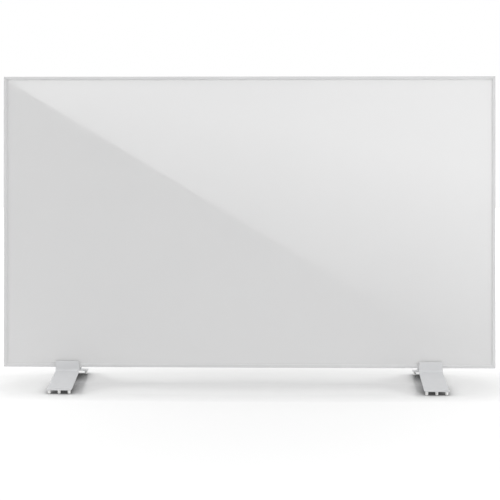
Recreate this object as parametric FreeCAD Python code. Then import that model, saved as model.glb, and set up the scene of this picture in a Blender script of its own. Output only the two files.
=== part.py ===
"""Free-standing infrared panel heater: a framed glass panel held in two clamp-on feet.

Millimetres, +Z up, the glowing face looks along -Y. The origin is on the floor, under the middle
of the panel.
"""
import FreeCAD, Part
import math
import os

# Panel outline
PANEL_WIDTH = 1005.0
PANEL_HEIGHT = 595.0
PANEL_DEPTH = 22.0
FLOOR_GAP = 35.0

# Frame extrusion, four mitred rails
FRAME_WALL = 1.5
FRAME_LIP = 6.0
FRAME_SHELF = 9.0
FRAME_FLANGE = 12.0
FRAME_EDGE_RADIUS = 1.0

# Corner keys inside the rails
KEY_LEG = 45.0
KEY_WIDTH = 8.0
KEY_CLEARANCE = 0.1

# Front glass and the seal folded round its edge
GLASS_THICKNESS = 4.0
GLASS_ARRIS = 0.4
SEAL_FACE = 0.5
SEAL_EDGE = 1.0
SEAL_SHOW = 0.6

# Heating layers behind the glass
LAYER_MARGIN = 16.0
LAYER_CLEARANCE = 0.3
TRACK_THICKNESS = 0.3
TRACK_WIDTH = 22.0
TRACK_RUNS = 20
TRACK_MARGIN = 36.0
BOARD_THICKNESS = 0.8
FOIL_THICKNESS = 0.3
POST_RADIUS = 2.5
POST_CLEARANCE = 0.1

# Rear cover, a sheet with a raised field
COVER_SHEET = 0.8
COVER_CLEARANCE = 0.4
FIELD_INSET = 46.0
FIELD_SLOPE = 6.0
FIELD_RISE = 4.0
FIELD_CORNER = 26.0
COVER_SCREW_RADIUS = 1.5
COVER_SCREW_LENGTH = 8.0
COVER_SCREW_LINE = 6.0
COVER_SCREW_END = 30.0
COVER_SCREWS_ACROSS = 5
COVER_SCREWS_UP = 3

# Pan head screws, shared by every cover, box and lid screw
HEAD_RATIO = 1.9
HEAD_HEIGHT = 1.8
HEAD_ROUNDING = 0.7
SCREW_CLEARANCE = 0.1

# Threaded rivet nuts for a wall bracket
NUT_INSET_X = 152.5
NUT_INSET_Z = 122.5
NUT_BORE = 3.0
NUT_SHANK = 4.4
NUT_FLANGE = 6.0
NUT_FLANGE_THICKNESS = 0.9
NUT_DEPTH = 11.0
NUT_END_WALL = 1.5
NUT_POCKET_CLEARANCE = 0.6

# Bimetal thermal cut-outs in the live side
CUTOUT_COUNT = 2
CUTOUT_FIRST = 130.0
CUTOUT_PITCH = 130.0
CUTOUT_CAP_RADIUS = 8.0
CUTOUT_CAP_HEIGHT = 3.4
CUTOUT_BODY_RADIUS = 7.2
CUTOUT_BODY_HEIGHT = 6.0
CUTOUT_POCKET = 1.5

# Flat push-on tabs, on the cut-outs and on the switch
TAB_WIDTH = 6.3
TAB_THICKNESS = 0.8
TAB_OFFSET = 4.5
TAB_LENGTH = 7.5

# Insulated leads
LEAD_RADIUS = 1.2
LEAD_BEND = 4.0
LEAD_WIDE_BEND = 14.0
LEAD_TOUCH = 0.1
LEAD_LIFT = 0.3
LEAD_PARTING = 0.5

# Terminal box on the raised field
BOX_WIDTH = 124.0
BOX_HEIGHT = 76.0
BOX_DEPTH = 30.0
BOX_WALL = 2.4
BOX_CORNER = 6.0
BOX_UP = 84.0
BOX_SCREW_RADIUS = 1.4
BOX_SCREW_LENGTH = 5.0
BOX_SCREW_INSET = 19.0
BOX_SCREW_RISE = 10.0
BOX_SCREW_DROP = 7.0
BOSS_RADIUS = 3.6
BOSS_INSET = 5.6
GASKET_THICKNESS = 0.8
GASKET_INSET = 0.4
LID_THICKNESS = 2.4
LID_EDGE_RADIUS = 1.2
LID_SCREW_LENGTH = 12.0

# Ceramic terminal block
BLOCK_X = -14.0
BLOCK_DROP = 8.0
BLOCK_HEIGHT = 22.0
BLOCK_DEPTH = 18.0
BLOCK_EDGE_RADIUS = 1.0
POLE_COUNT = 3
POLE_PITCH = 14.0
POLE_SHOULDER = 9.0
INSERT_RADIUS = 2.8
INSERT_BORE = 1.5
INSERT_CLEARANCE = 0.05
POLE_SCREW_RADIUS = 1.6
POLE_SCREW_OFFSET = 6.0
POLE_SCREW_SINK = 0.6

# Wire grommet, earth stud and its nut
GROMMET_DROP = 12.0
GROMMET_BORE = 3.4
GROMMET_NECK = 4.8
GROMMET_FLANGE = 6.4
GROMMET_LIP = 1.2
STUD_RADIUS = 2.0
STUD_DROP = 10.0
STUD_LENGTH = 17.0
STUD_NUT_FLATS = 7.0
STUD_NUT_HEIGHT = 3.2
STUD_NUT_CLEARANCE = 1.0

# Cable gland through the lower wall of the box
GLAND_BORE = 4.0
GLAND_SEAL_WALL = 1.9
GLAND_SEAL_LENGTH = 10.0
GLAND_THREAD = 8.0
GLAND_THREAD_LENGTH = 8.0
GLAND_FLATS = 20.0
GLAND_FLANGE = 5.0
GLAND_NECK_WALL = 1.4
GLAND_NUT_WALL = 2.2
GLAND_NUT_MOUTH = 4.6
GLAND_CLEARANCE = 0.1
LOCKNUT_HEIGHT = 4.0

# Rocker switch in the side wall of the box
SWITCH_BODY_LENGTH = 21.0
SWITCH_BODY_WIDTH = 13.0
SWITCH_BODY_DEPTH = 15.0
SWITCH_RIM = 1.6
SWITCH_RIM_HEIGHT = 2.0
SWITCH_WALL = 1.6
SWITCH_WELL = 7.6
SWITCH_CLEARANCE = 0.2
ROCKER_GAP = 0.4
ROCKER_END_GAP = 0.9
ROCKER_PIVOT_DEPTH = 1.0
ROCKER_PIN = 1.0
ROCKER_PIN_LENGTH = 0.9
ROCKER_PIN_CLEARANCE = 0.05
ROCKER_HEEL = 4.2
ROCKER_TIP_RISE = 4.8
ROCKER_DISH = 1.6
ROCKER_TILT = 8.0

# Feet
FOOT_WIDTH = 48.0
FOOT_INSET = 131.5
FOOT_REACH = 120.0
FOOT_WALL = 3.0
FOOT_LIP = 13.0
FOOT_REAR_LIP = 34.0
FOOT_BEND_DROP = 7.0
FOOT_BEND_RADIUS = 5.0
FOOT_ARCH_RADIUS = 30.0
FOOT_CORNER_RADIUS = 1.0
TOE_LENGTH = 14.0
CHANNEL_FILLET = 0.6
LINER_THICKNESS = 1.0
LINER_INSET = 1.0
CLAMP_GAP = 4.0

# Silicone bumpers under the toes
BUMPER_COUNT = 3
BUMPER_HEIGHT = 7.0
BUMPER_RADIUS = 3.2
BUMPER_TIP_RADIUS = 2.6
BUMPER_ROUNDING = 0.5
BUMPER_INSET = 4.5

# Thumb screws that clamp a foot to the panel
THUMB_RADIUS = 2.5
THUMB_CLEARANCE = 0.05
THUMB_SPACING = 26.0
THUMB_UP = 22.0
THUMB_LIFT = 0.3
COLLAR_RADIUS = 4.5
COLLAR_LENGTH = 2.0
KNOB_RADIUS = 8.0
KNOB_LENGTH = 10.0
KNOB_EDGE = 1.0
KNOB_FLUTES = 12
FLUTE_RADIUS = 1.4
PAD_RADIUS = 4.5
PAD_THICKNESS = 1.6

# Places that follow from the sizes above, front to back
Y_FRONT = -PANEL_DEPTH / 2
Y_BACK = PANEL_DEPTH / 2
Y_SLOT = Y_FRONT + FRAME_WALL
Y_GLASS_FRONT = Y_SLOT + SEAL_FACE
Y_GLASS_BACK = Y_GLASS_FRONT + GLASS_THICKNESS
Y_SHELF_FRONT = Y_GLASS_BACK + SEAL_FACE
Y_SHELF_BACK = Y_SHELF_FRONT + FRAME_WALL
Y_FLANGE_BACK = Y_BACK - COVER_SHEET
Y_FLANGE_FRONT = Y_FLANGE_BACK - FRAME_WALL
Y_TRACK_BACK = Y_GLASS_BACK + TRACK_THICKNESS
Y_BOARD_BACK = Y_TRACK_BACK + BOARD_THICKNESS
Y_FOIL_BACK = Y_BOARD_BACK + FOIL_THICKNESS
Y_WOOL_BACK = Y_FLANGE_BACK - LAYER_CLEARANCE
Y_FIELD_FRONT = Y_FLANGE_BACK + FIELD_RISE
Y_FIELD = Y_BACK + FIELD_RISE
Y_LEAD = Y_WOOL_BACK + LEAD_LIFT + LEAD_RADIUS
Y_BOX_FLOOR = Y_FIELD + BOX_WALL
Y_BOX_RIM = Y_FIELD + BOX_DEPTH
Y_LID = Y_BOX_RIM + GASKET_THICKNESS
Y_LID_BACK = Y_LID + LID_THICKNESS
Y_BOX_MIDDLE = (Y_FIELD + Y_BOX_RIM) / 2

# Places that follow, across and upwards
HALF_WIDTH = PANEL_WIDTH / 2
Z_BOTTOM = FLOOR_GAP
Z_TOP = FLOOR_GAP + PANEL_HEIGHT
Z_MIDDLE = (Z_BOTTOM + Z_TOP) / 2
Z_BOX_BOTTOM = Z_BOTTOM + BOX_UP
Z_BOX_TOP = Z_BOX_BOTTOM + BOX_HEIGHT
Z_BOX = (Z_BOX_BOTTOM + Z_BOX_TOP) / 2
Z_GROMMET = Z_BOX_TOP - GROMMET_DROP
Z_BLOCK = Z_BOX - BLOCK_DROP
X_BOX_SIDE = BOX_WIDTH / 2
BLOCK_HALF = POLE_PITCH * (POLE_COUNT - 1) / 2 + POLE_SHOULDER
STUD_X = BLOCK_X - BLOCK_HALF - STUD_NUT_CLEARANCE - STUD_NUT_FLATS / math.sqrt(3)
FOOT_OFFSET = HALF_WIDTH - FOOT_INSET
LEAD_SPLIT = LEAD_RADIUS + LEAD_PARTING

UP = FreeCAD.Vector(0, 0, 1)
BACK = FreeCAD.Vector(0, 1, 0)
RIGHT = FreeCAD.Vector(1, 0, 0)


def at(x, y, z):
    return FreeCAD.Vector(x, y, z)


def block(x0, x1, y0, y1, z0, z1):
    """Box between two corners."""
    return Part.makeBox(x1 - x0, y1 - y0, z1 - z0, at(x0, y0, z0))


def slab(inset, y0, y1):
    """Plate with the panel's outline, drawn in by the inset on all four edges."""
    return block(inset - HALF_WIDTH, HALF_WIDTH - inset, y0, y1, Z_BOTTOM + inset, Z_TOP - inset)


def rod(radius, start, direction, length):
    return Part.makeCylinder(radius, length, start, direction)


def tube(outer, inner, start, direction, length):
    return rod(outer, start, direction, length).cut(rod(inner, start, direction, length))


def corner_arcs(points, radii, closed):
    """Tangent points and middle of the arc at each corner of a polygon or an open route."""
    count = len(points)
    corners = []
    for index, (corner, radius) in enumerate(zip(points, radii)):
        at_end = not closed and index in (0, count - 1)
        if at_end or radius == 0:
            corners.append((corner, None, corner))
            continue
        before = (points[index - 1] - corner).normalize()
        after = (points[(index + 1) % count] - corner).normalize()
        half_turn = before.getAngle(after) / 2
        reach = radius / math.tan(half_turn)
        inward = (before + after).normalize()
        middle = corner + inward * (radius / math.sin(half_turn) - radius)
        corners.append((corner + before * reach, middle, corner + after * reach))
    return corners


def rounded_wire(points, radii, closed=True):
    """Straight runs through the points, with a tangent arc of its own radius at each corner."""
    corners = corner_arcs(points, radii, closed)
    edges = []
    for index, (start, middle, end) in enumerate(corners):
        if middle is not None:
            edges.append(Part.Arc(start, middle, end).toShape())
        last = index == len(corners) - 1
        if last and not closed:
            continue
        edges.append(Part.LineSegment(end, corners[(index + 1) % len(corners)][0]).toShape())
    return Part.Wire(edges)


def cornered_wire(corners):
    """Closed wire from pairs of a point and the radius of its corner."""
    return rounded_wire([point for point, radius in corners], [radius for point, radius in corners])


def rounded_plate(x0, x1, z0, z1, radius, y0, y1):
    """Plate with four rounded corners, seen from the back."""
    corners = [at(x0, y0, z0), at(x1, y0, z0), at(x1, y0, z1), at(x0, y0, z1)]
    return Part.Face(rounded_wire(corners, [radius] * 4)).extrude(BACK * (y1 - y0))


def hexagon(flats, start, direction, length):
    """Hexagonal prism along an axis."""
    points = []
    side = flats / math.sqrt(3)
    across = at(1, 0, 0) * side
    for step in range(7):
        points.append(start + FreeCAD.Rotation(direction, 60 * step).multVec(across))
    return Part.Face(Part.makePolygon(points)).extrude(direction * length)


def spread(count, span):
    """Evenly spaced places over a span, about its middle."""
    return [span * (index / (count - 1) - 0.5) for index in range(count)]


def lead(points, last_bend=LEAD_BEND):
    """Insulated wire of round section along straight runs with tangent bends, the last one wider."""
    bends = [LEAD_BEND] * len(points)
    bends[-2] = last_bend
    path = rounded_wire(points, bends, closed=False)
    direction = (points[1] - points[0]).normalize()
    section = Part.Wire(Part.makeCircle(LEAD_RADIUS, points[0], direction))
    return path.makePipeShell([section], True, True)


def pan_screw(radius, length, seat):
    """Pan head screw that goes in along -Y, with the head's flat underside at the seat."""
    head = rod(radius * HEAD_RATIO, seat, BACK, HEAD_HEIGHT)
    rim = [edge for edge in head.Edges if edge.BoundBox.YMin > seat.y + HEAD_HEIGHT / 2 and edge.Closed]
    head = head.makeFillet(HEAD_ROUNDING, rim)
    return head.fuse(rod(radius, seat, -BACK, length)).removeSplitter()


def frame_rail(length):
    """Mitred rail along X with its outer face down: lip, glass slot, shelf, key channel, flange."""
    outline = [
        (Y_FRONT, 0, FRAME_EDGE_RADIUS),
        (Y_FRONT, FRAME_LIP, 0),
        (Y_SLOT, FRAME_LIP, 0),
        (Y_SLOT, FRAME_WALL, 0),
        (Y_SHELF_FRONT, FRAME_WALL, 0),
        (Y_SHELF_FRONT, FRAME_SHELF, 0),
        (Y_SHELF_BACK, FRAME_SHELF, 0),
        (Y_SHELF_BACK, FRAME_WALL, 0),
        (Y_FLANGE_FRONT, FRAME_WALL, 0),
        (Y_FLANGE_FRONT, FRAME_FLANGE, 0),
        (Y_FLANGE_BACK, FRAME_FLANGE, 0),
        (Y_FLANGE_BACK, FRAME_WALL, 0),
        (Y_BACK, FRAME_WALL, 0),
        (Y_BACK, 0, FRAME_EDGE_RADIUS),
    ]
    section = cornered_wire([(at(-length / 2, y, inward), radius) for y, inward, radius in outline])
    bar = Part.Face(section).extrude(RIGHT * length)
    reach = max(FRAME_LIP, FRAME_SHELF, FRAME_FLANGE)
    mitre = [
        at(-length / 2, Y_FRONT, 0),
        at(length / 2, Y_FRONT, 0),
        at(length / 2 - reach, Y_FRONT, reach),
        at(reach - length / 2, Y_FRONT, reach),
        at(-length / 2, Y_FRONT, 0),
    ]
    return bar.common(Part.Face(Part.makePolygon(mitre)).extrude(BACK * PANEL_DEPTH))


def cover_screw_places():
    """Middles of the screws round the edge of the rear cover, as x and z."""
    places = []
    for x in spread(COVER_SCREWS_ACROSS, PANEL_WIDTH - 2 * COVER_SCREW_END):
        places.append((x, Z_BOTTOM + COVER_SCREW_LINE))
        places.append((x, Z_TOP - COVER_SCREW_LINE))
    for z in spread(COVER_SCREWS_UP, PANEL_HEIGHT - 2 * COVER_SCREW_END):
        places.append((COVER_SCREW_LINE - HALF_WIDTH, Z_MIDDLE + z))
        places.append((HALF_WIDTH - COVER_SCREW_LINE, Z_MIDDLE + z))
    return places


def cover_screw_holes():
    radius = COVER_SCREW_RADIUS + SCREW_CLEARANCE
    holes = [rod(radius, at(x, Y_BACK, z), -BACK, PANEL_DEPTH / 2) for x, z in cover_screw_places()]
    return Part.makeCompound(holes)


def frame_rails():
    """The four rails, drilled for the cover screws."""
    turns = {
        "bottom": (PANEL_WIDTH, 0, at(0, 0, Z_BOTTOM)),
        "left": (PANEL_HEIGHT, 90, at(-HALF_WIDTH, 0, Z_MIDDLE)),
        "top": (PANEL_WIDTH, 180, at(0, 0, Z_TOP)),
        "right": (PANEL_HEIGHT, 270, at(HALF_WIDTH, 0, Z_MIDDLE)),
    }
    rails = {}
    for side, (length, angle, place) in turns.items():
        rail = frame_rail(length)
        rail.rotate(at(0, 0, 0), BACK, angle)
        rail.translate(place)
        rails["frame_" + side + "_rail"] = rail.cut(cover_screw_holes())
    return rails


def corner_keys():
    """L-shaped keys that join the rails inside their channels, one in each corner."""
    near = FRAME_WALL + KEY_CLEARANCE
    far = near + KEY_WIDTH
    y0 = Y_SHELF_BACK + KEY_CLEARANCE
    y1 = Y_FLANGE_FRONT - KEY_CLEARANCE
    along = block(near, near + KEY_LEG, y0, y1, near, far)
    upward = block(near, far, y0, y1, near, near + KEY_LEG)
    key = along.fuse(upward).removeSplitter()
    key.translate(at(-HALF_WIDTH, 0, Z_BOTTOM))
    left = [key, key.mirror(at(0, 0, Z_MIDDLE), UP)]
    both = left + [piece.mirror(at(0, 0, 0), RIGHT) for piece in left]
    return Part.makeCompound([piece.cut(cover_screw_holes()) for piece in both])


def front_glass():
    """Toughened glass with a ground edge, lacquered white on its back."""
    glass = slab(FRAME_WALL + SEAL_EDGE, Y_GLASS_FRONT, Y_GLASS_BACK)
    return glass.makeChamfer(GLASS_ARRIS, glass.Edges)


def glass_seal():
    """Silicone strip folded round the edge of the glass, filling the slot of the frame."""
    ring = slab(FRAME_WALL, Y_SLOT, Y_SHELF_FRONT)
    ring = ring.cut(slab(FRAME_LIP + SEAL_SHOW, Y_SLOT, Y_SHELF_FRONT))
    return ring.cut(slab(FRAME_WALL + SEAL_EDGE, Y_GLASS_FRONT, Y_GLASS_BACK))


def track_places():
    """Places across of the track's upright runs, and the height where the bends begin and end."""
    inset = LAYER_MARGIN + TRACK_MARGIN
    runs = spread(TRACK_RUNS, PANEL_WIDTH - 2 * inset - TRACK_WIDTH)
    bend = (runs[1] - runs[0] + TRACK_WIDTH) / 2
    return runs, Z_BOTTOM + inset + bend, Z_TOP - inset - bend


def heater_track():
    """Printed resistance track: upright runs joined by half-round bends, one unbroken strip."""
    runs, low, high = track_places()
    pitch = runs[1] - runs[0]
    outer = (pitch + TRACK_WIDTH) / 2
    inner = (pitch - TRACK_WIDTH) / 2
    pieces = []
    for x in runs:
        half = TRACK_WIDTH / 2
        pieces.append(block(x - half, x + half, Y_GLASS_BACK, Y_TRACK_BACK, low, high))
    for index, x in enumerate(runs[:-1]):
        at_top = index % 2 == 0
        middle = at(x + pitch / 2, Y_GLASS_BACK, high if at_top else low)
        ring = tube(outer, inner, middle, BACK, TRACK_THICKNESS)
        z0 = high if at_top else low - outer
        half_space = block(middle.x - outer, middle.x + outer, Y_GLASS_BACK, Y_TRACK_BACK, z0, z0 + outer)
        pieces.append(ring.common(half_space))
    return pieces[0].multiFuse(pieces[1:]).removeSplitter()


def post_places():
    """The two ends of the track, where the leads are joined to it."""
    runs, low, high = track_places()
    return [(runs[0], low + TRACK_WIDTH / 2), (runs[-1], low + TRACK_WIDTH / 2)]


def cutout_places():
    return [-(CUTOUT_FIRST + CUTOUT_PITCH * index) for index in range(CUTOUT_COUNT)]


def post_holes(y0, y1):
    holes = [rod(POST_RADIUS + POST_CLEARANCE, at(x, y0, z), BACK, y1 - y0) for x, z in post_places()]
    return Part.makeCompound(holes)


def heater_board():
    """Mica board that carries the track against the glass."""
    board = slab(LAYER_MARGIN, Y_TRACK_BACK, Y_BOARD_BACK)
    return board.cut(post_holes(Y_TRACK_BACK, Y_BOARD_BACK))


def reflector_foil():
    """Aluminium foil that turns the heat to the front."""
    foil = slab(LAYER_MARGIN, Y_BOARD_BACK, Y_FOIL_BACK)
    return foil.cut(post_holes(Y_BOARD_BACK, Y_FOIL_BACK))


def insulation_board():
    """Mineral wool board, cut out for the cut-outs, the posts and the wall nuts."""
    wool = slab(LAYER_MARGIN, Y_FOIL_BACK, Y_WOOL_BACK)
    cuts = [post_holes(Y_FOIL_BACK, Y_WOOL_BACK)]
    depth = Y_WOOL_BACK - Y_FOIL_BACK
    for x in cutout_places():
        cuts.append(rod(CUTOUT_CAP_RADIUS + CUTOUT_POCKET, at(x, Y_FOIL_BACK, Z_GROMMET), BACK, depth))
    pocket = NUT_DEPTH + NUT_END_WALL + NUT_POCKET_CLEARANCE
    for x, z in nut_places():
        radius = NUT_SHANK + NUT_POCKET_CLEARANCE
        cuts.append(rod(radius, at(x, Y_FIELD, z), -BACK, pocket))
    return wool.cut(Part.makeCompound(cuts))


def terminal_posts():
    """Brass posts that bring the ends of the track through the layers to the leads."""
    top = Y_LEAD + LEAD_RADIUS
    return [rod(POST_RADIUS, at(x, Y_TRACK_BACK, z), BACK, top - Y_TRACK_BACK) for x, z in post_places()]


def cutout_bodies():
    """Thermal cut-outs: a metal cap on the foil and a moulded body behind it."""
    bodies = []
    for x in cutout_places():
        cap = rod(CUTOUT_CAP_RADIUS, at(x, Y_FOIL_BACK, Z_GROMMET), BACK, CUTOUT_CAP_HEIGHT)
        base = at(x, Y_FOIL_BACK + CUTOUT_CAP_HEIGHT, Z_GROMMET)
        bodies.append(cap.fuse(rod(CUTOUT_BODY_RADIUS, base, BACK, CUTOUT_BODY_HEIGHT)))
    return Part.makeCompound(bodies)


def cutout_tabs():
    y0 = Y_FOIL_BACK + CUTOUT_CAP_HEIGHT + CUTOUT_BODY_HEIGHT
    y1 = Y_LEAD + LEAD_RADIUS
    tabs = []
    for x in cutout_places():
        for side in (-1, 1):
            middle = x + side * TAB_OFFSET
            half = TAB_THICKNESS / 2
            z0 = Z_GROMMET + LEAD_SPLIT - TAB_WIDTH / 2
            tabs.append(block(middle - half, middle + half, y0, y1, z0, z0 + TAB_WIDTH))
    return Part.makeCompound(tabs)


def nut_places():
    """Middles of the four wall nuts, as x and z."""
    across = HALF_WIDTH - NUT_INSET_X
    heights = (Z_BOTTOM + NUT_INSET_Z, Z_TOP - NUT_INSET_Z)
    return [(side * across, z) for side in (-1, 1) for z in heights]


def box_screw_places():
    """Middles of the four screws of the box's floor: a low row, and a row under the leads' grommet."""
    across = X_BOX_SIDE - BOX_SCREW_INSET
    heights = (Z_BOX_BOTTOM + BOX_SCREW_RISE, Z_GROMMET - BOX_SCREW_DROP)
    return [(side * across, z) for side in (-1, 1) for z in heights]


def field_solid(y0, y1):
    """Raised field of the rear cover as a low block with sloping sides."""
    wires = []
    for inset, y in ((FIELD_INSET, y0), (FIELD_INSET + FIELD_SLOPE, y1)):
        x = HALF_WIDTH - inset
        z0 = Z_BOTTOM + inset
        z1 = Z_TOP - inset
        corners = [at(-x, y, z0), at(x, y, z0), at(x, y, z1), at(-x, y, z1)]
        wires.append(rounded_wire(corners, [FIELD_CORNER] * 4))
    return Part.makeLoft(wires, True, True)


def rear_cover():
    """Pressed steel sheet that closes the back, raised in the middle to make room for the leads."""
    cover = slab(FRAME_WALL + COVER_CLEARANCE, Y_FLANGE_BACK, Y_BACK)
    cover = cover.fuse(field_solid(Y_BACK, Y_FIELD)).cut(field_solid(Y_FLANGE_BACK, Y_FIELD_FRONT))
    holes = [cover_screw_holes()]
    for x, z in nut_places():
        holes.append(rod(NUT_SHANK + SCREW_CLEARANCE, at(x, Y_FIELD_FRONT, z), BACK, COVER_SHEET))
    for x, z in box_screw_places():
        holes.append(rod(BOX_SCREW_RADIUS + SCREW_CLEARANCE, at(x, Y_FIELD_FRONT, z), BACK, COVER_SHEET))
    neck = GROMMET_NECK + SCREW_CLEARANCE
    holes.append(rod(neck, at(BLOCK_X, Y_FIELD_FRONT, Z_GROMMET), BACK, COVER_SHEET))
    return cover.cut(Part.makeCompound(holes)).removeSplitter()


def rear_cover_screws():
    return Part.makeCompound([
        pan_screw(COVER_SCREW_RADIUS, COVER_SCREW_LENGTH, at(x, Y_BACK, z)) for x, z in cover_screw_places()
    ])


def wall_rivet_nuts():
    """Closed-end rivet nuts in the rear cover, for the bolts of a wall bracket."""
    nuts = []
    for x, z in nut_places():
        mouth = at(x, Y_FIELD + NUT_FLANGE_THICKNESS, z)
        body = rod(NUT_FLANGE, at(x, Y_FIELD, z), BACK, NUT_FLANGE_THICKNESS)
        body = body.fuse(rod(NUT_SHANK, at(x, Y_FIELD, z), -BACK, NUT_DEPTH + NUT_END_WALL))
        nuts.append(body.cut(rod(NUT_BORE, mouth, -BACK, NUT_DEPTH + NUT_FLANGE_THICKNESS)).removeSplitter())
    return Part.makeCompound(nuts)


def boss_places():
    across = X_BOX_SIDE - BOSS_INSET
    upward = BOX_HEIGHT / 2 - BOSS_INSET
    return [(side * across, Z_BOX + end * upward) for side in (-1, 1) for end in (-1, 1)]


def box_plate(inset, y0, y1):
    """Plate with the terminal box's outline, drawn in by the inset."""
    x = X_BOX_SIDE - inset
    radius = max(BOX_CORNER - inset, BOX_WALL)
    return rounded_plate(-x, x, Z_BOX_BOTTOM + inset, Z_BOX_TOP - inset, radius, y0, y1)


def lid_screw_holes():
    radius = BOX_SCREW_RADIUS + SCREW_CLEARANCE
    holes = [rod(radius, at(x, Y_LID_BACK, z), -BACK, LID_SCREW_LENGTH + BOX_WALL) for x, z in boss_places()]
    return Part.makeCompound(holes)


def terminal_box():
    """Open plastic box on the rear cover, with lid bosses, gland hole and switch window."""
    shell = box_plate(0, Y_FIELD, Y_BOX_RIM).cut(box_plate(BOX_WALL, Y_BOX_FLOOR, Y_BOX_RIM))
    inside = Y_BOX_RIM - Y_BOX_FLOOR
    bosses = [rod(BOSS_RADIUS, at(x, Y_BOX_FLOOR, z), BACK, inside) for x, z in boss_places()]
    shell = shell.multiFuse(bosses).common(box_plate(0, Y_FIELD, Y_BOX_RIM))
    length = SWITCH_BODY_LENGTH / 2 + SWITCH_CLEARANCE
    width = SWITCH_BODY_WIDTH / 2 + SWITCH_CLEARANCE
    cuts = [
        lid_screw_holes(),
        rod(GLAND_THREAD + GLAND_CLEARANCE, at(BLOCK_X, Y_BOX_MIDDLE, Z_BOX_BOTTOM), UP, BOX_WALL),
        rod(GROMMET_NECK + SCREW_CLEARANCE, at(BLOCK_X, Y_FIELD, Z_GROMMET), BACK, BOX_WALL),
        rod(STUD_RADIUS + SCREW_CLEARANCE, at(STUD_X, Y_FIELD, Z_BOX - STUD_DROP), BACK, BOX_WALL),
        block(X_BOX_SIDE - BOX_WALL, X_BOX_SIDE, Y_BOX_MIDDLE - width, Y_BOX_MIDDLE + width,
              Z_BOX - length, Z_BOX + length),
    ]
    for x, z in box_screw_places():
        cuts.append(rod(BOX_SCREW_RADIUS + SCREW_CLEARANCE, at(x, Y_FIELD, z), BACK, BOX_WALL))
    return shell.cut(Part.makeCompound(cuts)).removeSplitter()


def box_screws():
    return Part.makeCompound([
        pan_screw(BOX_SCREW_RADIUS, BOX_SCREW_LENGTH, at(x, Y_BOX_FLOOR, z)) for x, z in box_screw_places()
    ])


def lid_gasket():
    """Flat foam ring between the rim of the box and its lid."""
    ring = box_plate(GASKET_INSET, Y_BOX_RIM, Y_LID).cut(box_plate(BOX_WALL, Y_BOX_RIM, Y_LID))
    return ring.cut(lid_screw_holes())


def terminal_box_lid():
    lid = box_plate(0, Y_LID, Y_LID_BACK)
    rim = [edge for edge in lid.Edges if edge.BoundBox.YMin > Y_LID + LID_THICKNESS / 2]
    return lid.makeFillet(LID_EDGE_RADIUS, rim).cut(lid_screw_holes())


def lid_screws():
    return Part.makeCompound([
        pan_screw(BOX_SCREW_RADIUS, LID_SCREW_LENGTH, at(x, Y_LID_BACK, z)) for x, z in boss_places()
    ])


def pole_places():
    return [BLOCK_X + x for x in spread(POLE_COUNT, POLE_PITCH * (POLE_COUNT - 1))]


def pole_screw_places():
    """Middles of the two wire screws of each pole, as x and z."""
    return [(x, Z_BLOCK + end * POLE_SCREW_OFFSET) for x in pole_places() for end in (-1, 1)]


def terminal_block():
    """Glazed ceramic block with a brass tube and two wire screws in each pole."""
    z0 = Z_BLOCK - BLOCK_HEIGHT / 2
    top = Y_BOX_FLOOR + BLOCK_DEPTH
    body = block(BLOCK_X - BLOCK_HALF, BLOCK_X + BLOCK_HALF, Y_BOX_FLOOR, top, z0, z0 + BLOCK_HEIGHT)
    body = body.makeFillet(BLOCK_EDGE_RADIUS, body.Edges)
    cuts = []
    for x in pole_places():
        cuts.append(rod(INSERT_RADIUS + INSERT_CLEARANCE, at(x, Y_BOX_MIDDLE, z0), UP, BLOCK_HEIGHT))
    for x, z in pole_screw_places():
        cuts.append(rod(POLE_SCREW_RADIUS + SCREW_CLEARANCE, at(x, Y_BOX_MIDDLE, z), BACK, BLOCK_DEPTH))
    return body.cut(Part.makeCompound(cuts))


def terminal_inserts():
    start = Z_BLOCK - BLOCK_HEIGHT / 2
    inserts = []
    for x in pole_places():
        inserts.append(tube(INSERT_RADIUS, INSERT_BORE, at(x, Y_BOX_MIDDLE, start), UP, BLOCK_HEIGHT))
    return Part.makeCompound(inserts)


def terminal_screws():
    """Wire screws sunk in the block, standing on the brass tubes."""
    y0 = Y_BOX_MIDDLE + INSERT_RADIUS
    length = Y_BOX_FLOOR + BLOCK_DEPTH - POLE_SCREW_SINK - y0
    screws = [rod(POLE_SCREW_RADIUS, at(x, y0, z), BACK, length) for x, z in pole_screw_places()]
    return Part.makeCompound(screws)


def cable_grommet():
    """Rubber ring snapped into the sheet and the floor of the box, for the two leads."""
    neck = Y_BOX_FLOOR - Y_FIELD_FRONT
    start = at(BLOCK_X, Y_FIELD_FRONT, Z_GROMMET)
    body = rod(GROMMET_NECK, start, BACK, neck)
    body = body.fuse(rod(GROMMET_FLANGE, start, -BACK, GROMMET_LIP))
    body = body.fuse(rod(GROMMET_FLANGE, at(BLOCK_X, Y_BOX_FLOOR, Z_GROMMET), BACK, GROMMET_LIP))
    bore = rod(GROMMET_BORE, start - BACK * GROMMET_LIP, BACK, neck + 2 * GROMMET_LIP)
    return body.cut(bore).removeSplitter()


def earth_stud():
    return rod(STUD_RADIUS, at(STUD_X, Y_FIELD, Z_BOX - STUD_DROP), BACK, STUD_LENGTH)


def earth_nut():
    start = at(STUD_X, Y_BOX_FLOOR, Z_BOX - STUD_DROP)
    hole = rod(STUD_RADIUS + SCREW_CLEARANCE, start, BACK, STUD_NUT_HEIGHT)
    return hexagon(STUD_NUT_FLATS, start, BACK, STUD_NUT_HEIGHT).cut(hole)


def gland_places():
    """Heights of the gland: under the wall, under its flange, and the end of its neck."""
    wall = Z_BOX_BOTTOM
    flange = wall - GLAND_FLANGE
    return wall, flange, flange - GLAND_SEAL_LENGTH


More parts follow.
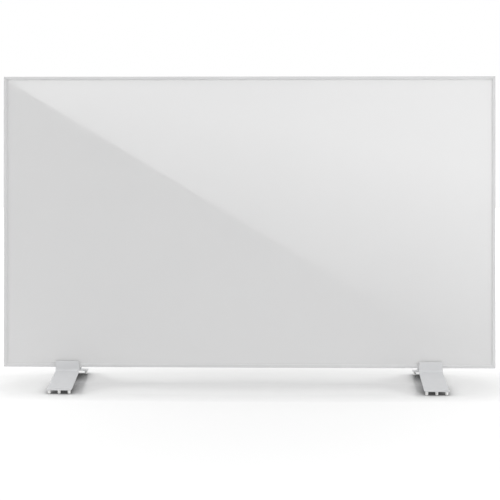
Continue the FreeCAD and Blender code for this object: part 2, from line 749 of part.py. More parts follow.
def gland_body():
    """Cable gland: threaded neck through the wall, hexagon outside, sleeve for the seal below."""
    wall, flange, end = gland_places()
    sleeve = GLAND_BORE + GLAND_SEAL_WALL + GLAND_CLEARANCE
    axis = at(BLOCK_X, Y_BOX_MIDDLE, flange)
    body = hexagon(GLAND_FLATS, axis, UP, GLAND_FLANGE)
    body = body.fuse(rod(GLAND_THREAD, at(axis.x, axis.y, wall), UP, GLAND_THREAD_LENGTH))
    body = body.fuse(rod(sleeve + GLAND_NECK_WALL, at(axis.x, axis.y, end), UP, flange - end))
    length = wall + GLAND_THREAD_LENGTH - end
    return body.cut(rod(sleeve, at(axis.x, axis.y, end), UP, length)).removeSplitter()


def gland_locknut():
    start = at(BLOCK_X, Y_BOX_MIDDLE, Z_BOX_BOTTOM + BOX_WALL)
    hole = rod(GLAND_THREAD + GLAND_CLEARANCE, start, UP, LOCKNUT_HEIGHT)
    return hexagon(GLAND_FLATS, start, UP, LOCKNUT_HEIGHT).cut(hole)


def gland_seal():
    wall, flange, end = gland_places()
    outer = GLAND_BORE + GLAND_SEAL_WALL
    return tube(outer, GLAND_BORE, at(BLOCK_X, Y_BOX_MIDDLE, end), UP, GLAND_SEAL_LENGTH)


def gland_nut():
    """Domed cap nut that squeezes the seal on the cable."""
    wall, flange, end = gland_places()
    inner = GLAND_BORE + GLAND_SEAL_WALL + GLAND_NECK_WALL + 2 * GLAND_CLEARANCE
    outer = inner + GLAND_NUT_WALL
    low = end - GLAND_CLEARANCE - GLAND_NUT_WALL
    outline = [
        (GLAND_NUT_MOUTH, low, 0),
        (outer, low, GLAND_NUT_WALL),
        (outer, flange - GLAND_CLEARANCE, 0),
        (inner, flange - GLAND_CLEARANCE, 0),
        (inner, end - GLAND_CLEARANCE, 0),
        (GLAND_NUT_MOUTH, end - GLAND_CLEARANCE, 0),
    ]
    section = cornered_wire([(at(radius, 0, z), rounding) for radius, z, rounding in outline])
    nut = Part.Face(section).revolve(at(0, 0, 0), UP, 360)
    nut.translate(at(BLOCK_X, Y_BOX_MIDDLE, 0))
    return nut


def switch_body():
    """Rocker switch housing snapped into the side wall, with a rim outside and a well for the rocker."""
    face = X_BOX_SIDE + SWITCH_RIM_HEIGHT
    half_length = SWITCH_BODY_LENGTH / 2
    half_width = SWITCH_BODY_WIDTH / 2
    y0 = Y_BOX_MIDDLE - half_width
    y1 = Y_BOX_MIDDLE + half_width
    z0 = Z_BOX - half_length
    z1 = Z_BOX + half_length
    body = block(X_BOX_SIDE - SWITCH_BODY_DEPTH, face, y0, y1, z0, z1)
    rim = block(X_BOX_SIDE, face, y0 - SWITCH_RIM, y1 + SWITCH_RIM, z0 - SWITCH_RIM, z1 + SWITCH_RIM)
    outer_edges = [edge for edge in rim.Edges if edge.BoundBox.XMin > X_BOX_SIDE + SWITCH_RIM_HEIGHT / 2]
    body = body.fuse(rim.makeFillet(SWITCH_RIM_HEIGHT / 2, outer_edges))
    well = block(face - SWITCH_WELL, face, y0 + SWITCH_WALL, y1 - SWITCH_WALL,
                 z0 + SWITCH_WALL, z1 - SWITCH_WALL)
    pin_half = half_width - SWITCH_WALL + ROCKER_PIN_LENGTH
    pin_start = at(X_BOX_SIDE - ROCKER_PIVOT_DEPTH, Y_BOX_MIDDLE - pin_half, Z_BOX)
    seats = rod(ROCKER_PIN + ROCKER_PIN_CLEARANCE, pin_start, BACK, 2 * pin_half)
    return body.cut(well).cut(seats).removeSplitter()


def switch_rocker():
    """Rocker with a dished face and a round heel, tipped to the off side on its two pins."""
    pivot = at(X_BOX_SIDE - ROCKER_PIVOT_DEPTH, Y_BOX_MIDDLE, Z_BOX)
    half_length = SWITCH_BODY_LENGTH / 2 - SWITCH_WALL - ROCKER_END_GAP
    half_width = SWITCH_BODY_WIDTH / 2 - SWITCH_WALL - ROCKER_GAP
    shoulder = ROCKER_TIP_RISE - 2 * ROCKER_DISH
    tips = [at(ROCKER_TIP_RISE, 0, half_length), at(ROCKER_TIP_RISE, 0, -half_length)]
    dish = Part.Arc(tips[1], at(ROCKER_TIP_RISE - ROCKER_DISH, 0, 0), tips[0]).toShape()
    heel = Part.Arc(at(0, 0, ROCKER_HEEL), at(-ROCKER_HEEL, 0, 0), at(0, 0, -ROCKER_HEEL)).toShape()
    sides = [
        Part.LineSegment(tips[0], at(shoulder, 0, half_length)).toShape(),
        Part.LineSegment(at(shoulder, 0, half_length), at(0, 0, ROCKER_HEEL)).toShape(),
        Part.LineSegment(at(0, 0, -ROCKER_HEEL), at(shoulder, 0, -half_length)).toShape(),
        Part.LineSegment(at(shoulder, 0, -half_length), tips[1]).toShape(),
    ]
    section = Part.Face(Part.Wire([dish, sides[0], sides[1], heel, sides[2], sides[3]]))
    body = section.extrude(BACK * (2 * half_width))
    body.translate(-BACK * half_width)
    pin_half = SWITCH_BODY_WIDTH / 2 - SWITCH_WALL + ROCKER_PIN_LENGTH - ROCKER_PIN_CLEARANCE
    body = body.fuse(rod(ROCKER_PIN, -BACK * pin_half, BACK, 2 * pin_half)).removeSplitter()
    body.rotate(at(0, 0, 0), BACK, -ROCKER_TILT)
    body.translate(pivot)
    return body


def switch_tabs():
    x1 = X_BOX_SIDE - SWITCH_BODY_DEPTH
    tabs = []
    for side in (-1, 1):
        z = Z_BOX + side * TAB_OFFSET
        y0 = Y_BOX_MIDDLE - TAB_WIDTH / 2
        half = TAB_THICKNESS / 2
        tabs.append(block(x1 - TAB_LENGTH, x1, y0, y0 + TAB_WIDTH, z - half, z + half))
    return Part.makeCompound(tabs)


def leads():
    """The six insulated wires, from the terminal block to the switch, cut-outs, track and earth."""
    poles = pole_places()
    y = Y_BOX_MIDDLE
    block_top = Z_BLOCK + BLOCK_HEIGHT / 2
    pole_end = block_top - POLE_SCREW_OFFSET
    tab_end = X_BOX_SIDE - SWITCH_BODY_DEPTH - TAB_LENGTH - LEAD_TOUCH
    live_x = tab_end - 4 * LEAD_BEND
    switched_x = tab_end - 2 * LEAD_BEND
    live_z = block_top + 3 * LEAD_BEND
    upper = Z_GROMMET + LEAD_SPLIT
    lower = Z_GROMMET - LEAD_SPLIT
    tab_face = TAB_OFFSET + TAB_THICKNESS / 2 + LEAD_TOUCH
    cutouts = cutout_places()
    (left_x, post_z), (right_x, post_z) = post_places()
    post_top = post_z + POST_RADIUS + LEAD_TOUCH
    stud_top = Z_BOX - STUD_DROP + STUD_RADIUS + LEAD_TOUCH
    return {
        "live_lead": lead([
            at(tab_end, y, Z_BOX - TAB_OFFSET), at(live_x, y, Z_BOX - TAB_OFFSET), at(live_x, y, live_z),
            at(poles[2], y, live_z), at(poles[2], y, pole_end)]),
        "switched_lead": lead([
            at(tab_end, y, Z_BOX + TAB_OFFSET), at(switched_x, y, Z_BOX + TAB_OFFSET),
            at(switched_x, y, upper), at(BLOCK_X, y, upper), at(BLOCK_X, Y_LEAD, upper),
            at(cutouts[0] + tab_face, Y_LEAD, upper)]),
        "cutout_link_lead": lead([
            at(cutouts[0] - tab_face, Y_LEAD, upper), at(cutouts[-1] + tab_face, Y_LEAD, upper)]),
        "track_lead": lead([
            at(cutouts[-1] - tab_face, Y_LEAD, upper), at(left_x, Y_LEAD, upper),
            at(left_x, Y_LEAD, post_top)], LEAD_WIDE_BEND),
        "neutral_lead": lead([
            at(poles[1], y, pole_end), at(poles[1], y, lower), at(poles[1], Y_LEAD, lower),
            at(right_x, Y_LEAD, lower), at(right_x, Y_LEAD, post_top)], LEAD_WIDE_BEND),
        "earth_lead": lead([
            at(poles[0], y, pole_end), at(poles[0], y, live_z), at(STUD_X, y, live_z),
            at(STUD_X, y, stud_top)]),
    }


def foot_levels():
    """Heights that shape a foot: its bend, its web and its toes."""
    bend = Z_BOTTOM - FOOT_BEND_DROP
    web = Z_BOTTOM - LINER_THICKNESS
    toe = BUMPER_HEIGHT + FOOT_WALL
    return bend, web, toe


def foot_leg(side, outer, lip_top):
    """Corners of one leg from the top of its lip, out along the toe and back under the web.

    side is -1 for the front leg and 1 for the rear one, outer is its lip's outer face.
    """
    bend, web, toe = foot_levels()
    inner = outer - FOOT_WALL
    toe_start = FOOT_REACH - TOE_LENGTH
    fall = (bend - toe) / (toe_start - outer)
    drop = FOOT_WALL * math.hypot(1, fall)
    arch = bend + fall * FOOT_WALL - drop
    toe_under = outer + (bend - drop - BUMPER_HEIGHT) / fall
    corners = [
        (outer, lip_top, FOOT_CORNER_RADIUS),
        (outer, bend, FOOT_BEND_RADIUS),
        (toe_start, toe, FOOT_ARCH_RADIUS),
        (FOOT_REACH, toe, FOOT_CORNER_RADIUS),
        (FOOT_REACH, BUMPER_HEIGHT, FOOT_CORNER_RADIUS),
        (toe_under, BUMPER_HEIGHT, FOOT_ARCH_RADIUS),
        (inner, arch, FOOT_CORNER_RADIUS),
        (inner, web - FOOT_WALL, FOOT_CORNER_RADIUS),
    ]
    return [(at(0, side * y, z), radius) for y, z, radius in corners]


def foot_profile():
    """Closed outline of a foot: channel for the panel above a web, and two splayed legs."""
    bend, web, toe = foot_levels()
    front_inner = -Y_FRONT + LINER_THICKNESS
    rear_inner = Y_BACK + CLAMP_GAP
    front_top = Z_BOTTOM + FOOT_LIP
    rear_top = Z_BOTTOM + FOOT_REAR_LIP
    corners = foot_leg(-1, front_inner + FOOT_WALL, front_top)
    corners += reversed(foot_leg(1, rear_inner + FOOT_WALL, rear_top))
    corners += [
        (at(0, rear_inner, rear_top), FOOT_CORNER_RADIUS),
        (at(0, rear_inner, web), CHANNEL_FILLET),
        (at(0, -front_inner, web), CHANNEL_FILLET),
        (at(0, -front_inner, front_top), FOOT_CORNER_RADIUS),
    ]
    return cornered_wire(corners)


def thumb_places(side):
    """Places across of a foot's two thumb screws, the inner one first."""
    middle = side * FOOT_OFFSET
    return middle - side * THUMB_SPACING / 2, middle + side * THUMB_SPACING / 2


def foot(side):
    """One foot: a cut length of extrusion, with threaded holes in its rear lip."""
    start = side * FOOT_OFFSET - FOOT_WIDTH / 2
    body = Part.Face(foot_profile()).extrude(RIGHT * FOOT_WIDTH)
    body.translate(at(start, 0, 0))
    rear_inner = Y_BACK + CLAMP_GAP
    holes = []
    for x in thumb_places(side):
        place = at(x, rear_inner, Z_BOTTOM + THUMB_UP)
        holes.append(rod(THUMB_RADIUS + THUMB_CLEARANCE, place, BACK, FOOT_WALL))
    return body.cut(Part.makeCompound(holes))


def foot_liner(side):
    """Silicone strip on the web and the front lip, which the panel stands on."""
    bend, web, toe = foot_levels()
    front = Y_FRONT - LINER_THICKNESS
    rear = Y_BACK + CLAMP_GAP
    top = Z_BOTTOM + FOOT_LIP - LINER_INSET
    corners = [
        (at(0, front, top), 0),
        (at(0, front, web), CHANNEL_FILLET),
        (at(0, rear, web), CHANNEL_FILLET),
        (at(0, rear, Z_BOTTOM), 0),
        (at(0, Y_FRONT, Z_BOTTOM), 0),
        (at(0, Y_FRONT, top), 0),
    ]
    strip = Part.Face(cornered_wire(corners)).extrude(RIGHT * (FOOT_WIDTH - 2 * LINER_INSET))
    strip.translate(at(side * FOOT_OFFSET - FOOT_WIDTH / 2 + LINER_INSET, 0, 0))
    return strip


def foot_bumpers(side):
    """Three small tapered silicone bumpers under each toe."""
    bumpers = []
    for y in (-1, 1):
        for x in spread(BUMPER_COUNT, FOOT_WIDTH - 2 * BUMPER_INSET):
            base = at(side * FOOT_OFFSET + x, y * (FOOT_REACH - TOE_LENGTH / 2), 0)
            bumper = Part.makeCone(BUMPER_TIP_RADIUS, BUMPER_RADIUS, BUMPER_HEIGHT, base, UP)
            tip = [edge for edge in bumper.Edges if edge.BoundBox.ZMax < BUMPER_HEIGHT / 2 and edge.Closed]
            bumpers.append(bumper.makeFillet(BUMPER_ROUNDING, tip))
    return Part.makeCompound(bumpers)


def foot_pads(side):
    """Nylon pads between the thumb screws and the rear cover."""
    pads = []
    for x in thumb_places(side):
        pads.append(rod(PAD_RADIUS, at(x, Y_BACK, Z_BOTTOM + THUMB_UP), BACK, PAD_THICKNESS))
    return Part.makeCompound(pads)


def thumb_screw(x):
    """Thumb screw with a fluted knob, screwed through the rear lip of a foot."""
    z = Z_BOTTOM + THUMB_UP
    tip = Y_BACK + PAD_THICKNESS
    collar = Y_BACK + CLAMP_GAP + FOOT_WALL + THUMB_LIFT
    knob_start = collar + COLLAR_LENGTH
    knob = rod(KNOB_RADIUS, at(x, knob_start, z), BACK, KNOB_LENGTH)
    knob = knob.makeChamfer(KNOB_EDGE, [edge for edge in knob.Edges if edge.Closed])
    flutes = []
    for step in range(KNOB_FLUTES):
        turn = 2 * math.pi * step / KNOB_FLUTES
        place = at(x + KNOB_RADIUS * math.cos(turn), knob_start, z + KNOB_RADIUS * math.sin(turn))
        flutes.append(rod(FLUTE_RADIUS, place, BACK, KNOB_LENGTH))
    knob = knob.cut(Part.makeCompound(flutes))
    neck = rod(COLLAR_RADIUS, at(x, collar, z), BACK, COLLAR_LENGTH)
    shank = rod(THUMB_RADIUS, at(x, tip, z), BACK, knob_start - tip)
    return knob.multiFuse([neck, shank]).removeSplitter()


def foot_pieces():
    """Every piece of both feet, by name."""
    pieces = {}
    for name, side in (("left", -1), ("right", 1)):
        inner, outer = thumb_places(side)
        pieces[name + "_foot"] = foot(side)
        pieces[name + "_foot_liner"] = foot_liner(side)
        pieces[name + "_foot_bumpers"] = foot_bumpers(side)
        pieces[name + "_foot_pads"] = foot_pads(side)
        pieces[name + "_inner_thumb_screw"] = thumb_screw(inner)
        pieces[name + "_outer_thumb_screw"] = thumb_screw(outer)
    return pieces


def heater():
    """Every piece of the heater, by name."""
    pieces = {
        "front_glass": front_glass(),
        "glass_seal": glass_seal(),
        "corner_keys": corner_keys(),
        "heater_track": heater_track(),
        "heater_board": heater_board(),
        "reflector_foil": reflector_foil(),
        "insulation_board": insulation_board(),
        "terminal_posts": Part.makeCompound(terminal_posts()),
        "cutout_bodies": cutout_bodies(),
        "cutout_tabs": cutout_tabs(),
        "rear_cover": rear_cover(),
        "rear_cover_screws": rear_cover_screws(),
        "wall_rivet_nuts": wall_rivet_nuts(),
        "terminal_box": terminal_box(),
        "terminal_box_lid": terminal_box_lid(),
        "lid_gasket": lid_gasket(),
        "lid_screws": lid_screws(),
        "box_screws": box_screws(),
        "terminal_block": terminal_block(),
        "terminal_inserts": terminal_inserts(),
        "terminal_screws": terminal_screws(),
        "cable_grommet": cable_grommet(),
        "earth_stud": earth_stud(),
        "earth_nut": earth_nut(),
        "gland_body": gland_body(),
        "gland_locknut": gland_locknut(),
        "gland_seal": gland_seal(),
        "gland_nut": gland_nut(),
        "switch_body": switch_body(),
        "switch_rocker": switch_rocker(),
        "switch_tabs": switch_tabs(),
    }
    pieces.update(frame_rails())
    pieces.update(leads())
    pieces.update(foot_pieces())
    return pieces


os.makedirs("parts", exist_ok=True)
for name, shape in heater().items():
    shape.exportStep("parts/" + name + ".step")
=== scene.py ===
import math

import bmesh
import bpy
from mathutils import Matrix, Vector


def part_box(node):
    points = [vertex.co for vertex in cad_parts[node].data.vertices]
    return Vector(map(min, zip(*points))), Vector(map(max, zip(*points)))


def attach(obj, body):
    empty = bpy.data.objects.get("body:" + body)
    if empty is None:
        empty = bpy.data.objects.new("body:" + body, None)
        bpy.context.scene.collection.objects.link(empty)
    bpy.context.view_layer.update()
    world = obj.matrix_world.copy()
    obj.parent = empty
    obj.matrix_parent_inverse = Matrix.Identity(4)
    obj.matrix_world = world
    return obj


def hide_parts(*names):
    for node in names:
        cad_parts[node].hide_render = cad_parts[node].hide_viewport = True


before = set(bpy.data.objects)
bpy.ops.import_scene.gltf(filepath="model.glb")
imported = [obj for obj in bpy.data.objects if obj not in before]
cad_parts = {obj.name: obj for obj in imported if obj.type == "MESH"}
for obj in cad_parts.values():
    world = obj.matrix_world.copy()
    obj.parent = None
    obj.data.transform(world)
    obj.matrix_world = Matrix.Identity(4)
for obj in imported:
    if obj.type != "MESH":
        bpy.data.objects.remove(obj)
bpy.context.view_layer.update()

# Front glass: a toughened pane, 4 mm thick, lacquered white on its back. The colour is seen through
# the clear polished face, which mirrors the room, and it is the face that gives off the heat.
LACQUER_PALE = (0.643, 0.643, 0.644)
LACQUER_DEEP = (0.629, 0.629, 0.631)
GLASS_INDEX = 1.52
NOISE_LOW = 0.35
NOISE_HIGH = 0.65


def finish(name, colour, roughness, **sockets):
    """Material whose even values stand on its shader's own sockets, named with underscores here."""
    material = bpy.data.materials.new(name)
    material.use_nodes = True
    shader = material.node_tree.nodes["Principled BSDF"]
    shader.inputs["Base Color"].default_value = (*colour, 1)
    shader.inputs["Roughness"].default_value = roughness
    for socket, value in sockets.items():
        shader.inputs[socket.replace("_", " ")].default_value = value
    return material


def pattern(material, kind, scale, stretch=(1, 1, 1), **settings):
    """Texture in the piece's own coordinates, finer along an axis where its stretch is larger."""
    tree = material.node_tree
    place = tree.nodes.new("ShaderNodeTexCoord")
    mapping = tree.nodes.new("ShaderNodeMapping")
    texture = tree.nodes.new("ShaderNodeTex" + kind)
    mapping.inputs["Scale"].default_value = stretch
    texture.inputs["Scale"].default_value = scale
    for socket, value in settings.items():
        texture.inputs[socket].default_value = value
    tree.links.new(place.outputs["Object"], mapping.inputs["Vector"])
    tree.links.new(mapping.outputs["Vector"], texture.inputs["Vector"])
    return texture.outputs[0]


def shade(material, source, low, high, start=NOISE_LOW, end=NOISE_HIGH):
    """Lets the base colour run between two colours with a pattern."""
    tree = material.node_tree
    ramp = tree.nodes.new("ShaderNodeValToRGB")
    for stop, place, colour in zip(ramp.color_ramp.elements, (start, end), (low, high)):
        stop.position = place
        stop.color = (*colour, 1)
    tree.links.new(source, ramp.inputs["Fac"])
    tree.links.new(ramp.outputs["Color"], tree.nodes["Principled BSDF"].inputs["Base Color"])


def ranged(tree, source, start, end, low, high):
    """Number that runs from low to high while its source runs from start to end."""
    ramp = tree.nodes.new("ShaderNodeMapRange")
    for title, value in (("From Min", start), ("From Max", end), ("To Min", low), ("To Max", high)):
        ramp.inputs[title].default_value = value
    tree.links.new(source, ramp.inputs["Value"])
    return ramp.outputs["Result"]


def roughen(material, source, low, high):
    """Lets the roughness run between two values with a pattern."""
    tree = material.node_tree
    roughness = ranged(tree, source, NOISE_LOW, NOISE_HIGH, low, high)
    tree.links.new(roughness, tree.nodes["Principled BSDF"].inputs["Roughness"])


def relief(material, source, depth):
    """Raises the surface by a pattern, on top of any relief that it has already."""
    tree = material.node_tree
    normal = tree.nodes["Principled BSDF"].inputs["Normal"]
    bump = tree.nodes.new("ShaderNodeBump")
    bump.inputs["Distance"].default_value = depth
    if normal.is_linked:
        tree.links.new(normal.links[0].from_socket, bump.inputs["Normal"])
    tree.links.new(source, bump.inputs["Height"])
    tree.links.new(bump.outputs["Normal"], normal)


def dress(material, *nodes):
    """Gives CAD pieces that keep their shape a material."""
    for node in nodes:
        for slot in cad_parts[node].material_slots:
            slot.material = material


lacquered_glass = finish("lacquered_glass", LACQUER_PALE, 0.03, IOR=GLASS_INDEX)
lacquer_cloud = pattern(lacquered_glass, "Noise", 2.2, Detail=3.0)
shade(lacquered_glass, lacquer_cloud, LACQUER_DEEP, LACQUER_PALE)
roughen(lacquered_glass, pattern(lacquered_glass, "Noise", 14, Detail=5.0), 0.02, 0.05)
relief(lacquered_glass, pattern(lacquered_glass, "Noise", 3.5, (1, 1, 0.4)), 0.00003)
dress(lacquered_glass, "front_glass")

# Glass seal: a soft silicone strip folded round the edge of the pane, pressed into the slot of the
# frame. Only its thin inner lip shows, as a fine grey line between frame and glass.
SEAL_DEPTH = 0.0051
SEAL_NOSE_RADIUS = 0.0002
SILICONE_INDEX = 1.41
SMOOTH_UP_TO = math.radians(35)
glass_low, glass_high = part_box("front_glass")
seal_low, seal_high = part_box("glass_seal")


def placed(name, mesh, material):
    """New piece at the origin, with smooth faces between its sharp edges."""
    shape = bmesh.new()
    shape.from_mesh(mesh)
    bmesh.ops.recalc_face_normals(shape, faces=shape.faces)
    shape.to_mesh(mesh)
    shape.free()
    mesh.shade_smooth()
    mesh.set_sharp_from_angle(angle=SMOOTH_UP_TO)
    mesh.materials.append(material)
    piece = bpy.data.objects.new(name, mesh)
    bpy.context.scene.collection.objects.link(piece)
    return piece


def lofted(name, rings, material, loop=False):
    """Closed skin through rings of equally many points, capped at both ends or run round in a loop."""
    count = len(rings[0])
    faces = []
    if not loop:
        faces += [tuple(range(count)), tuple(range((len(rings) - 1) * count, len(rings) * count))]
    for row in range(len(rings) if loop else len(rings) - 1):
        low, high = row * count, (row + 1) % len(rings) * count
        for index in range(count):
            after = (index + 1) % count
            faces.append((low + index, low + after, high + after, high + index))
    mesh = bpy.data.meshes.new(name)
    mesh.from_pydata([point for ring in rings for point in ring], [], faces)
    return placed(name, mesh, material)


def rounded_outline(corners, steps=6):
    """Closed outline through corners given as two coordinates and the radius of the corner's arc."""
    outline = []
    for index, (across, along, radius) in enumerate(corners):
        corner = Vector((across, along))
        before = (Vector(corners[index - 1][:2]) - corner).normalized()
        after = (Vector(corners[(index + 1) % len(corners)][:2]) - corner).normalized()
        if radius == 0:
            outline.append(corner)
            continue
        half = before.angle(after) / 2
        middle = corner + (before + after).normalized() * radius / math.sin(half)
        start = corner + before * radius / math.tan(half) - middle
        end = corner + after * radius / math.tan(half) - middle
        sweep = math.pi - 2 * half
        for step in range(steps + 1):
            share = step / steps
            arm = start * math.sin((1 - share) * sweep) + end * math.sin(share * sweep)
            outline.append(middle + arm / math.sin(sweep))
    return outline


def adopt(piece, body, slot, *nodes):
    """The piece rides on a body and stands for CAD nodes, which it hides. The slot is not used."""
    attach(piece, body)
    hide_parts(*nodes)


def clouded(material, scale, low, high):
    """Lets the base colour drift between two colours in soft clouds."""
    shade(material, pattern(material, "Noise", scale, Detail=4.0), low, high)


def seal_section():
    """Section of the seal as depth and distance inwards: a channel that grips the edge of the pane."""
    edge = glass_low.x - seal_low.x
    return rounded_outline([
        (seal_low.y, 0, 0),
        (seal_low.y, SEAL_DEPTH, SEAL_NOSE_RADIUS),
        (glass_low.y, SEAL_DEPTH, SEAL_NOSE_RADIUS),
        (glass_low.y, edge, 0),
        (glass_high.y, edge, 0),
        (glass_high.y, SEAL_DEPTH, SEAL_NOSE_RADIUS),
        (seal_high.y, SEAL_DEPTH, SEAL_NOSE_RADIUS),
        (seal_high.y, 0, 0),
    ], steps=4)


seal_silicone = finish("seal_silicone", (0.76, 0.76, 0.765), 0.6, IOR=SILICONE_INDEX)
clouded(seal_silicone, 90, (0.73, 0.73, 0.735), (0.79, 0.79, 0.795))
relief(seal_silicone, pattern(seal_silicone, "Noise", 700), 0.00002)
seal_corners = []
for x, inward_x, z, inward_z in (
    (seal_low.x, 1, seal_low.z, 1), (seal_high.x, -1, seal_low.z, 1),
    (seal_high.x, -1, seal_high.z, -1), (seal_low.x, 1, seal_high.z, -1),
):
    seal_corners.append([
        (x + inward_x * inward, y, z + inward_z * inward) for y, inward in seal_section()
    ])
seal_strip = lofted("seal_strip", seal_corners, seal_silicone, loop=True)
adopt(seal_strip, "panel", "silicone_grey", "glass_seal")

# Frame: four rails of one extruded aluminium section, mitred, pushed together on cast corner keys
# and powder coated white. The lip holds the glass, the flange takes the screws of the rear cover.
RAIL_WALL = 0.0015
RAIL_LIP = 0.0060
RAIL_SHELF = 0.0090
RAIL_FLANGE = 0.0120
RAIL_EDGE_RADIUS = 0.0010
RAIL_EASED_EDGE = 0.0002
MITRE_GAP = 0.00006
POWDER_WHITE = (0.620, 0.622, 0.625)
POWDER_SHADE = (0.595, 0.597, 0.601)
BEVEL_FROM = math.radians(40)
rail_front, rail_back = (corner.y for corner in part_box("frame_top_rail"))
left_end, right_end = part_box("frame_left_rail")[0].x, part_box("frame_right_rail")[1].x
panel_low, panel_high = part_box("frame_bottom_rail")[0].z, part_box("frame_top_rail")[1].z
panel_middle = (panel_low + panel_high) / 2
panel_width, panel_height = right_end - left_end, panel_high - panel_low


def ease(piece, width, segments=2):
    """Small round on every sharp edge, as tooling or coating leaves it."""
    bevel = piece.modifiers.new("eased_edges", "BEVEL")
    bevel.width = width
    bevel.segments = segments
    bevel.limit_method = "ANGLE"
    bevel.angle_limit = BEVEL_FROM
    return piece


def rail_section():
    """Section of the rails as depth and distance inwards, from the lip to the back."""
    slot_front, shelf_front = seal_low.y, seal_high.y
    shelf_back = shelf_front + RAIL_WALL
    flange_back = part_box("rear_cover")[0].y
    flange_front = flange_back - RAIL_WALL
    return rounded_outline([
        (rail_front, 0, RAIL_EDGE_RADIUS), (rail_front, RAIL_LIP, 0), (slot_front, RAIL_LIP, 0),
        (slot_front, RAIL_WALL, 0), (shelf_front, RAIL_WALL, 0), (shelf_front, RAIL_SHELF, 0),
        (shelf_back, RAIL_SHELF, 0), (shelf_back, RAIL_WALL, 0),
        (flange_front, RAIL_WALL, 0), (flange_front, RAIL_FLANGE, 0),
        (flange_back, RAIL_FLANGE, 0), (flange_back, RAIL_WALL, 0),
        (rail_back, RAIL_WALL, 0), (rail_back, 0, RAIL_EDGE_RADIUS),
    ])


def rail(name, length, turn, place, material):
    """Mitred rail, turned from the bottom of the frame to its own side."""
    end = length / 2 - MITRE_GAP
    section = rail_section()
    rings = [[(side * (end - inward), y, inward) for y, inward in section] for side in (-1, 1)]
    piece = lofted(name, rings, material)
    piece.data.transform(Matrix.Translation(place) @ Matrix.Rotation(math.radians(turn), 4, "Y"))
    return ease(piece, RAIL_EASED_EDGE)


powder_coat = finish("frame_powder_coat", POWDER_WHITE, 0.5, Specular_IOR_Level=0.25)
clouded(powder_coat, 6, POWDER_SHADE, POWDER_WHITE)
roughen(powder_coat, pattern(powder_coat, "Noise", 60, Detail=3.0), 0.44, 0.56)
relief(powder_coat, pattern(powder_coat, "Noise", 850, Detail=2.0), 0.00002)
for side, length, turn, place in (
    ("bottom", panel_width, 0, (0, 0, panel_low)),
    ("left", panel_height, 90, (left_end, 0, panel_middle)),
    ("top", panel_width, 180, (0, 0, panel_high)),
    ("right", panel_height, 270, (right_end, 0, panel_middle)),
):
    frame_rail = rail("rail_" + side, length, turn, Vector(place), powder_coat)
    adopt(frame_rail, "panel", "frame_white", "frame_" + side + "_rail")

cast_zinc = finish("cast_zinc", (0.52, 0.53, 0.54), 0.5, Metallic=1.0)
clouded(cast_zinc, 120, (0.46, 0.47, 0.48), (0.58, 0.58, 0.59))
relief(cast_zinc, pattern(cast_zinc, "Voronoi", 400), 0.00005)
dress(cast_zinc, "corner_keys")

# Heating layers: a resistance track on a mica board behind the glass, a reflecting foil and a mineral
# wool board, pressed together by the rear cover. Nothing of them shows while the panel is closed.
track_alloy = finish("track_alloy", (0.42, 0.40, 0.37), 0.38, Metallic=1.0)
track_streaks = pattern(track_alloy, "Noise", 40, (1, 1, 0.1), Detail=4.0)
shade(track_alloy, track_streaks, (0.36, 0.33, 0.30), (0.48, 0.46, 0.43))
roughen(track_alloy, pattern(track_alloy, "Noise", 600, (1, 1, 0.05)), 0.3, 0.46)
dress(track_alloy, "heater_track")

mica = finish("mica_board", (0.50, 0.42, 0.30), 0.55)
mica_flakes = pattern(mica, "Voronoi", 160, Randomness=1.0)
shade(mica, mica_flakes, (0.40, 0.33, 0.22), (0.62, 0.54, 0.42), 0.1, 0.7)
roughen(mica, pattern(mica, "Noise", 240, Detail=3.0), 0.35, 0.7)
relief(mica, pattern(mica, "Voronoi", 160), 0.00004)
dress(mica, "heater_board")

foil = finish("reflector_foil", (0.86, 0.86, 0.87), 0.18, Metallic=1.0)
roughen(foil, pattern(foil, "Noise", 35, Detail=4.0), 0.12, 0.28)
relief(foil, pattern(foil, "Voronoi", 28), 0.0003)
dress(foil, "reflector_foil")

mineral_wool = finish("mineral_wool", (0.55, 0.49, 0.31), 0.95, Sheen_Weight=0.3)
wool_fibres = pattern(mineral_wool, "Noise", 220, (1, 4, 1), Detail=6.0)
shade(mineral_wool, wool_fibres, (0.40, 0.34, 0.19), (0.68, 0.62, 0.44))
relief(mineral_wool, pattern(mineral_wool, "Noise", 420, (1, 3, 1), Detail=5.0), 0.0008)
dress(mineral_wool, "insulation_board")

# Wiring of the panel: brass posts soldered to the ends of the track, two bimetal cut-outs clipped
# against the foil, and heat-proof insulated leads laid behind the wool board.
BROWN_INSULATION = (0.16, 0.07, 0.03)
BLUE_INSULATION = (0.04, 0.13, 0.40)
EARTH_GREEN = (0.10, 0.36, 0.05)
EARTH_YELLOW = (0.72, 0.60, 0.04)
LEAD_ROUGHNESS = 0.42
LEAD_GRAIN = 0.00001
GLOSS_SPREAD = 0.07

brass = finish("turned_brass", (0.74, 0.55, 0.24), 0.3, Metallic=1.0)
clouded(brass, 180, (0.66, 0.47, 0.19), (0.80, 0.62, 0.31))
roughen(brass, pattern(brass, "Noise", 900, (1, 0.1, 0.1)), 0.2, 0.42)
dress(brass, "terminal_posts", "terminal_inserts", "earth_nut")

zinc_plate = finish("zinc_plated_steel", (0.62, 0.63, 0.65), 0.3, Metallic=1.0)
clouded(zinc_plate, 320, (0.54, 0.55, 0.58), (0.70, 0.70, 0.69))
roughen(zinc_plate, pattern(zinc_plate, "Noise", 1500, Detail=3.0), 0.22, 0.42)
relief(zinc_plate, pattern(zinc_plate, "Noise", 2600), 0.000006)
dress(zinc_plate, "cutout_tabs", "switch_tabs", "box_screws", "terminal_screws", "earth_stud")


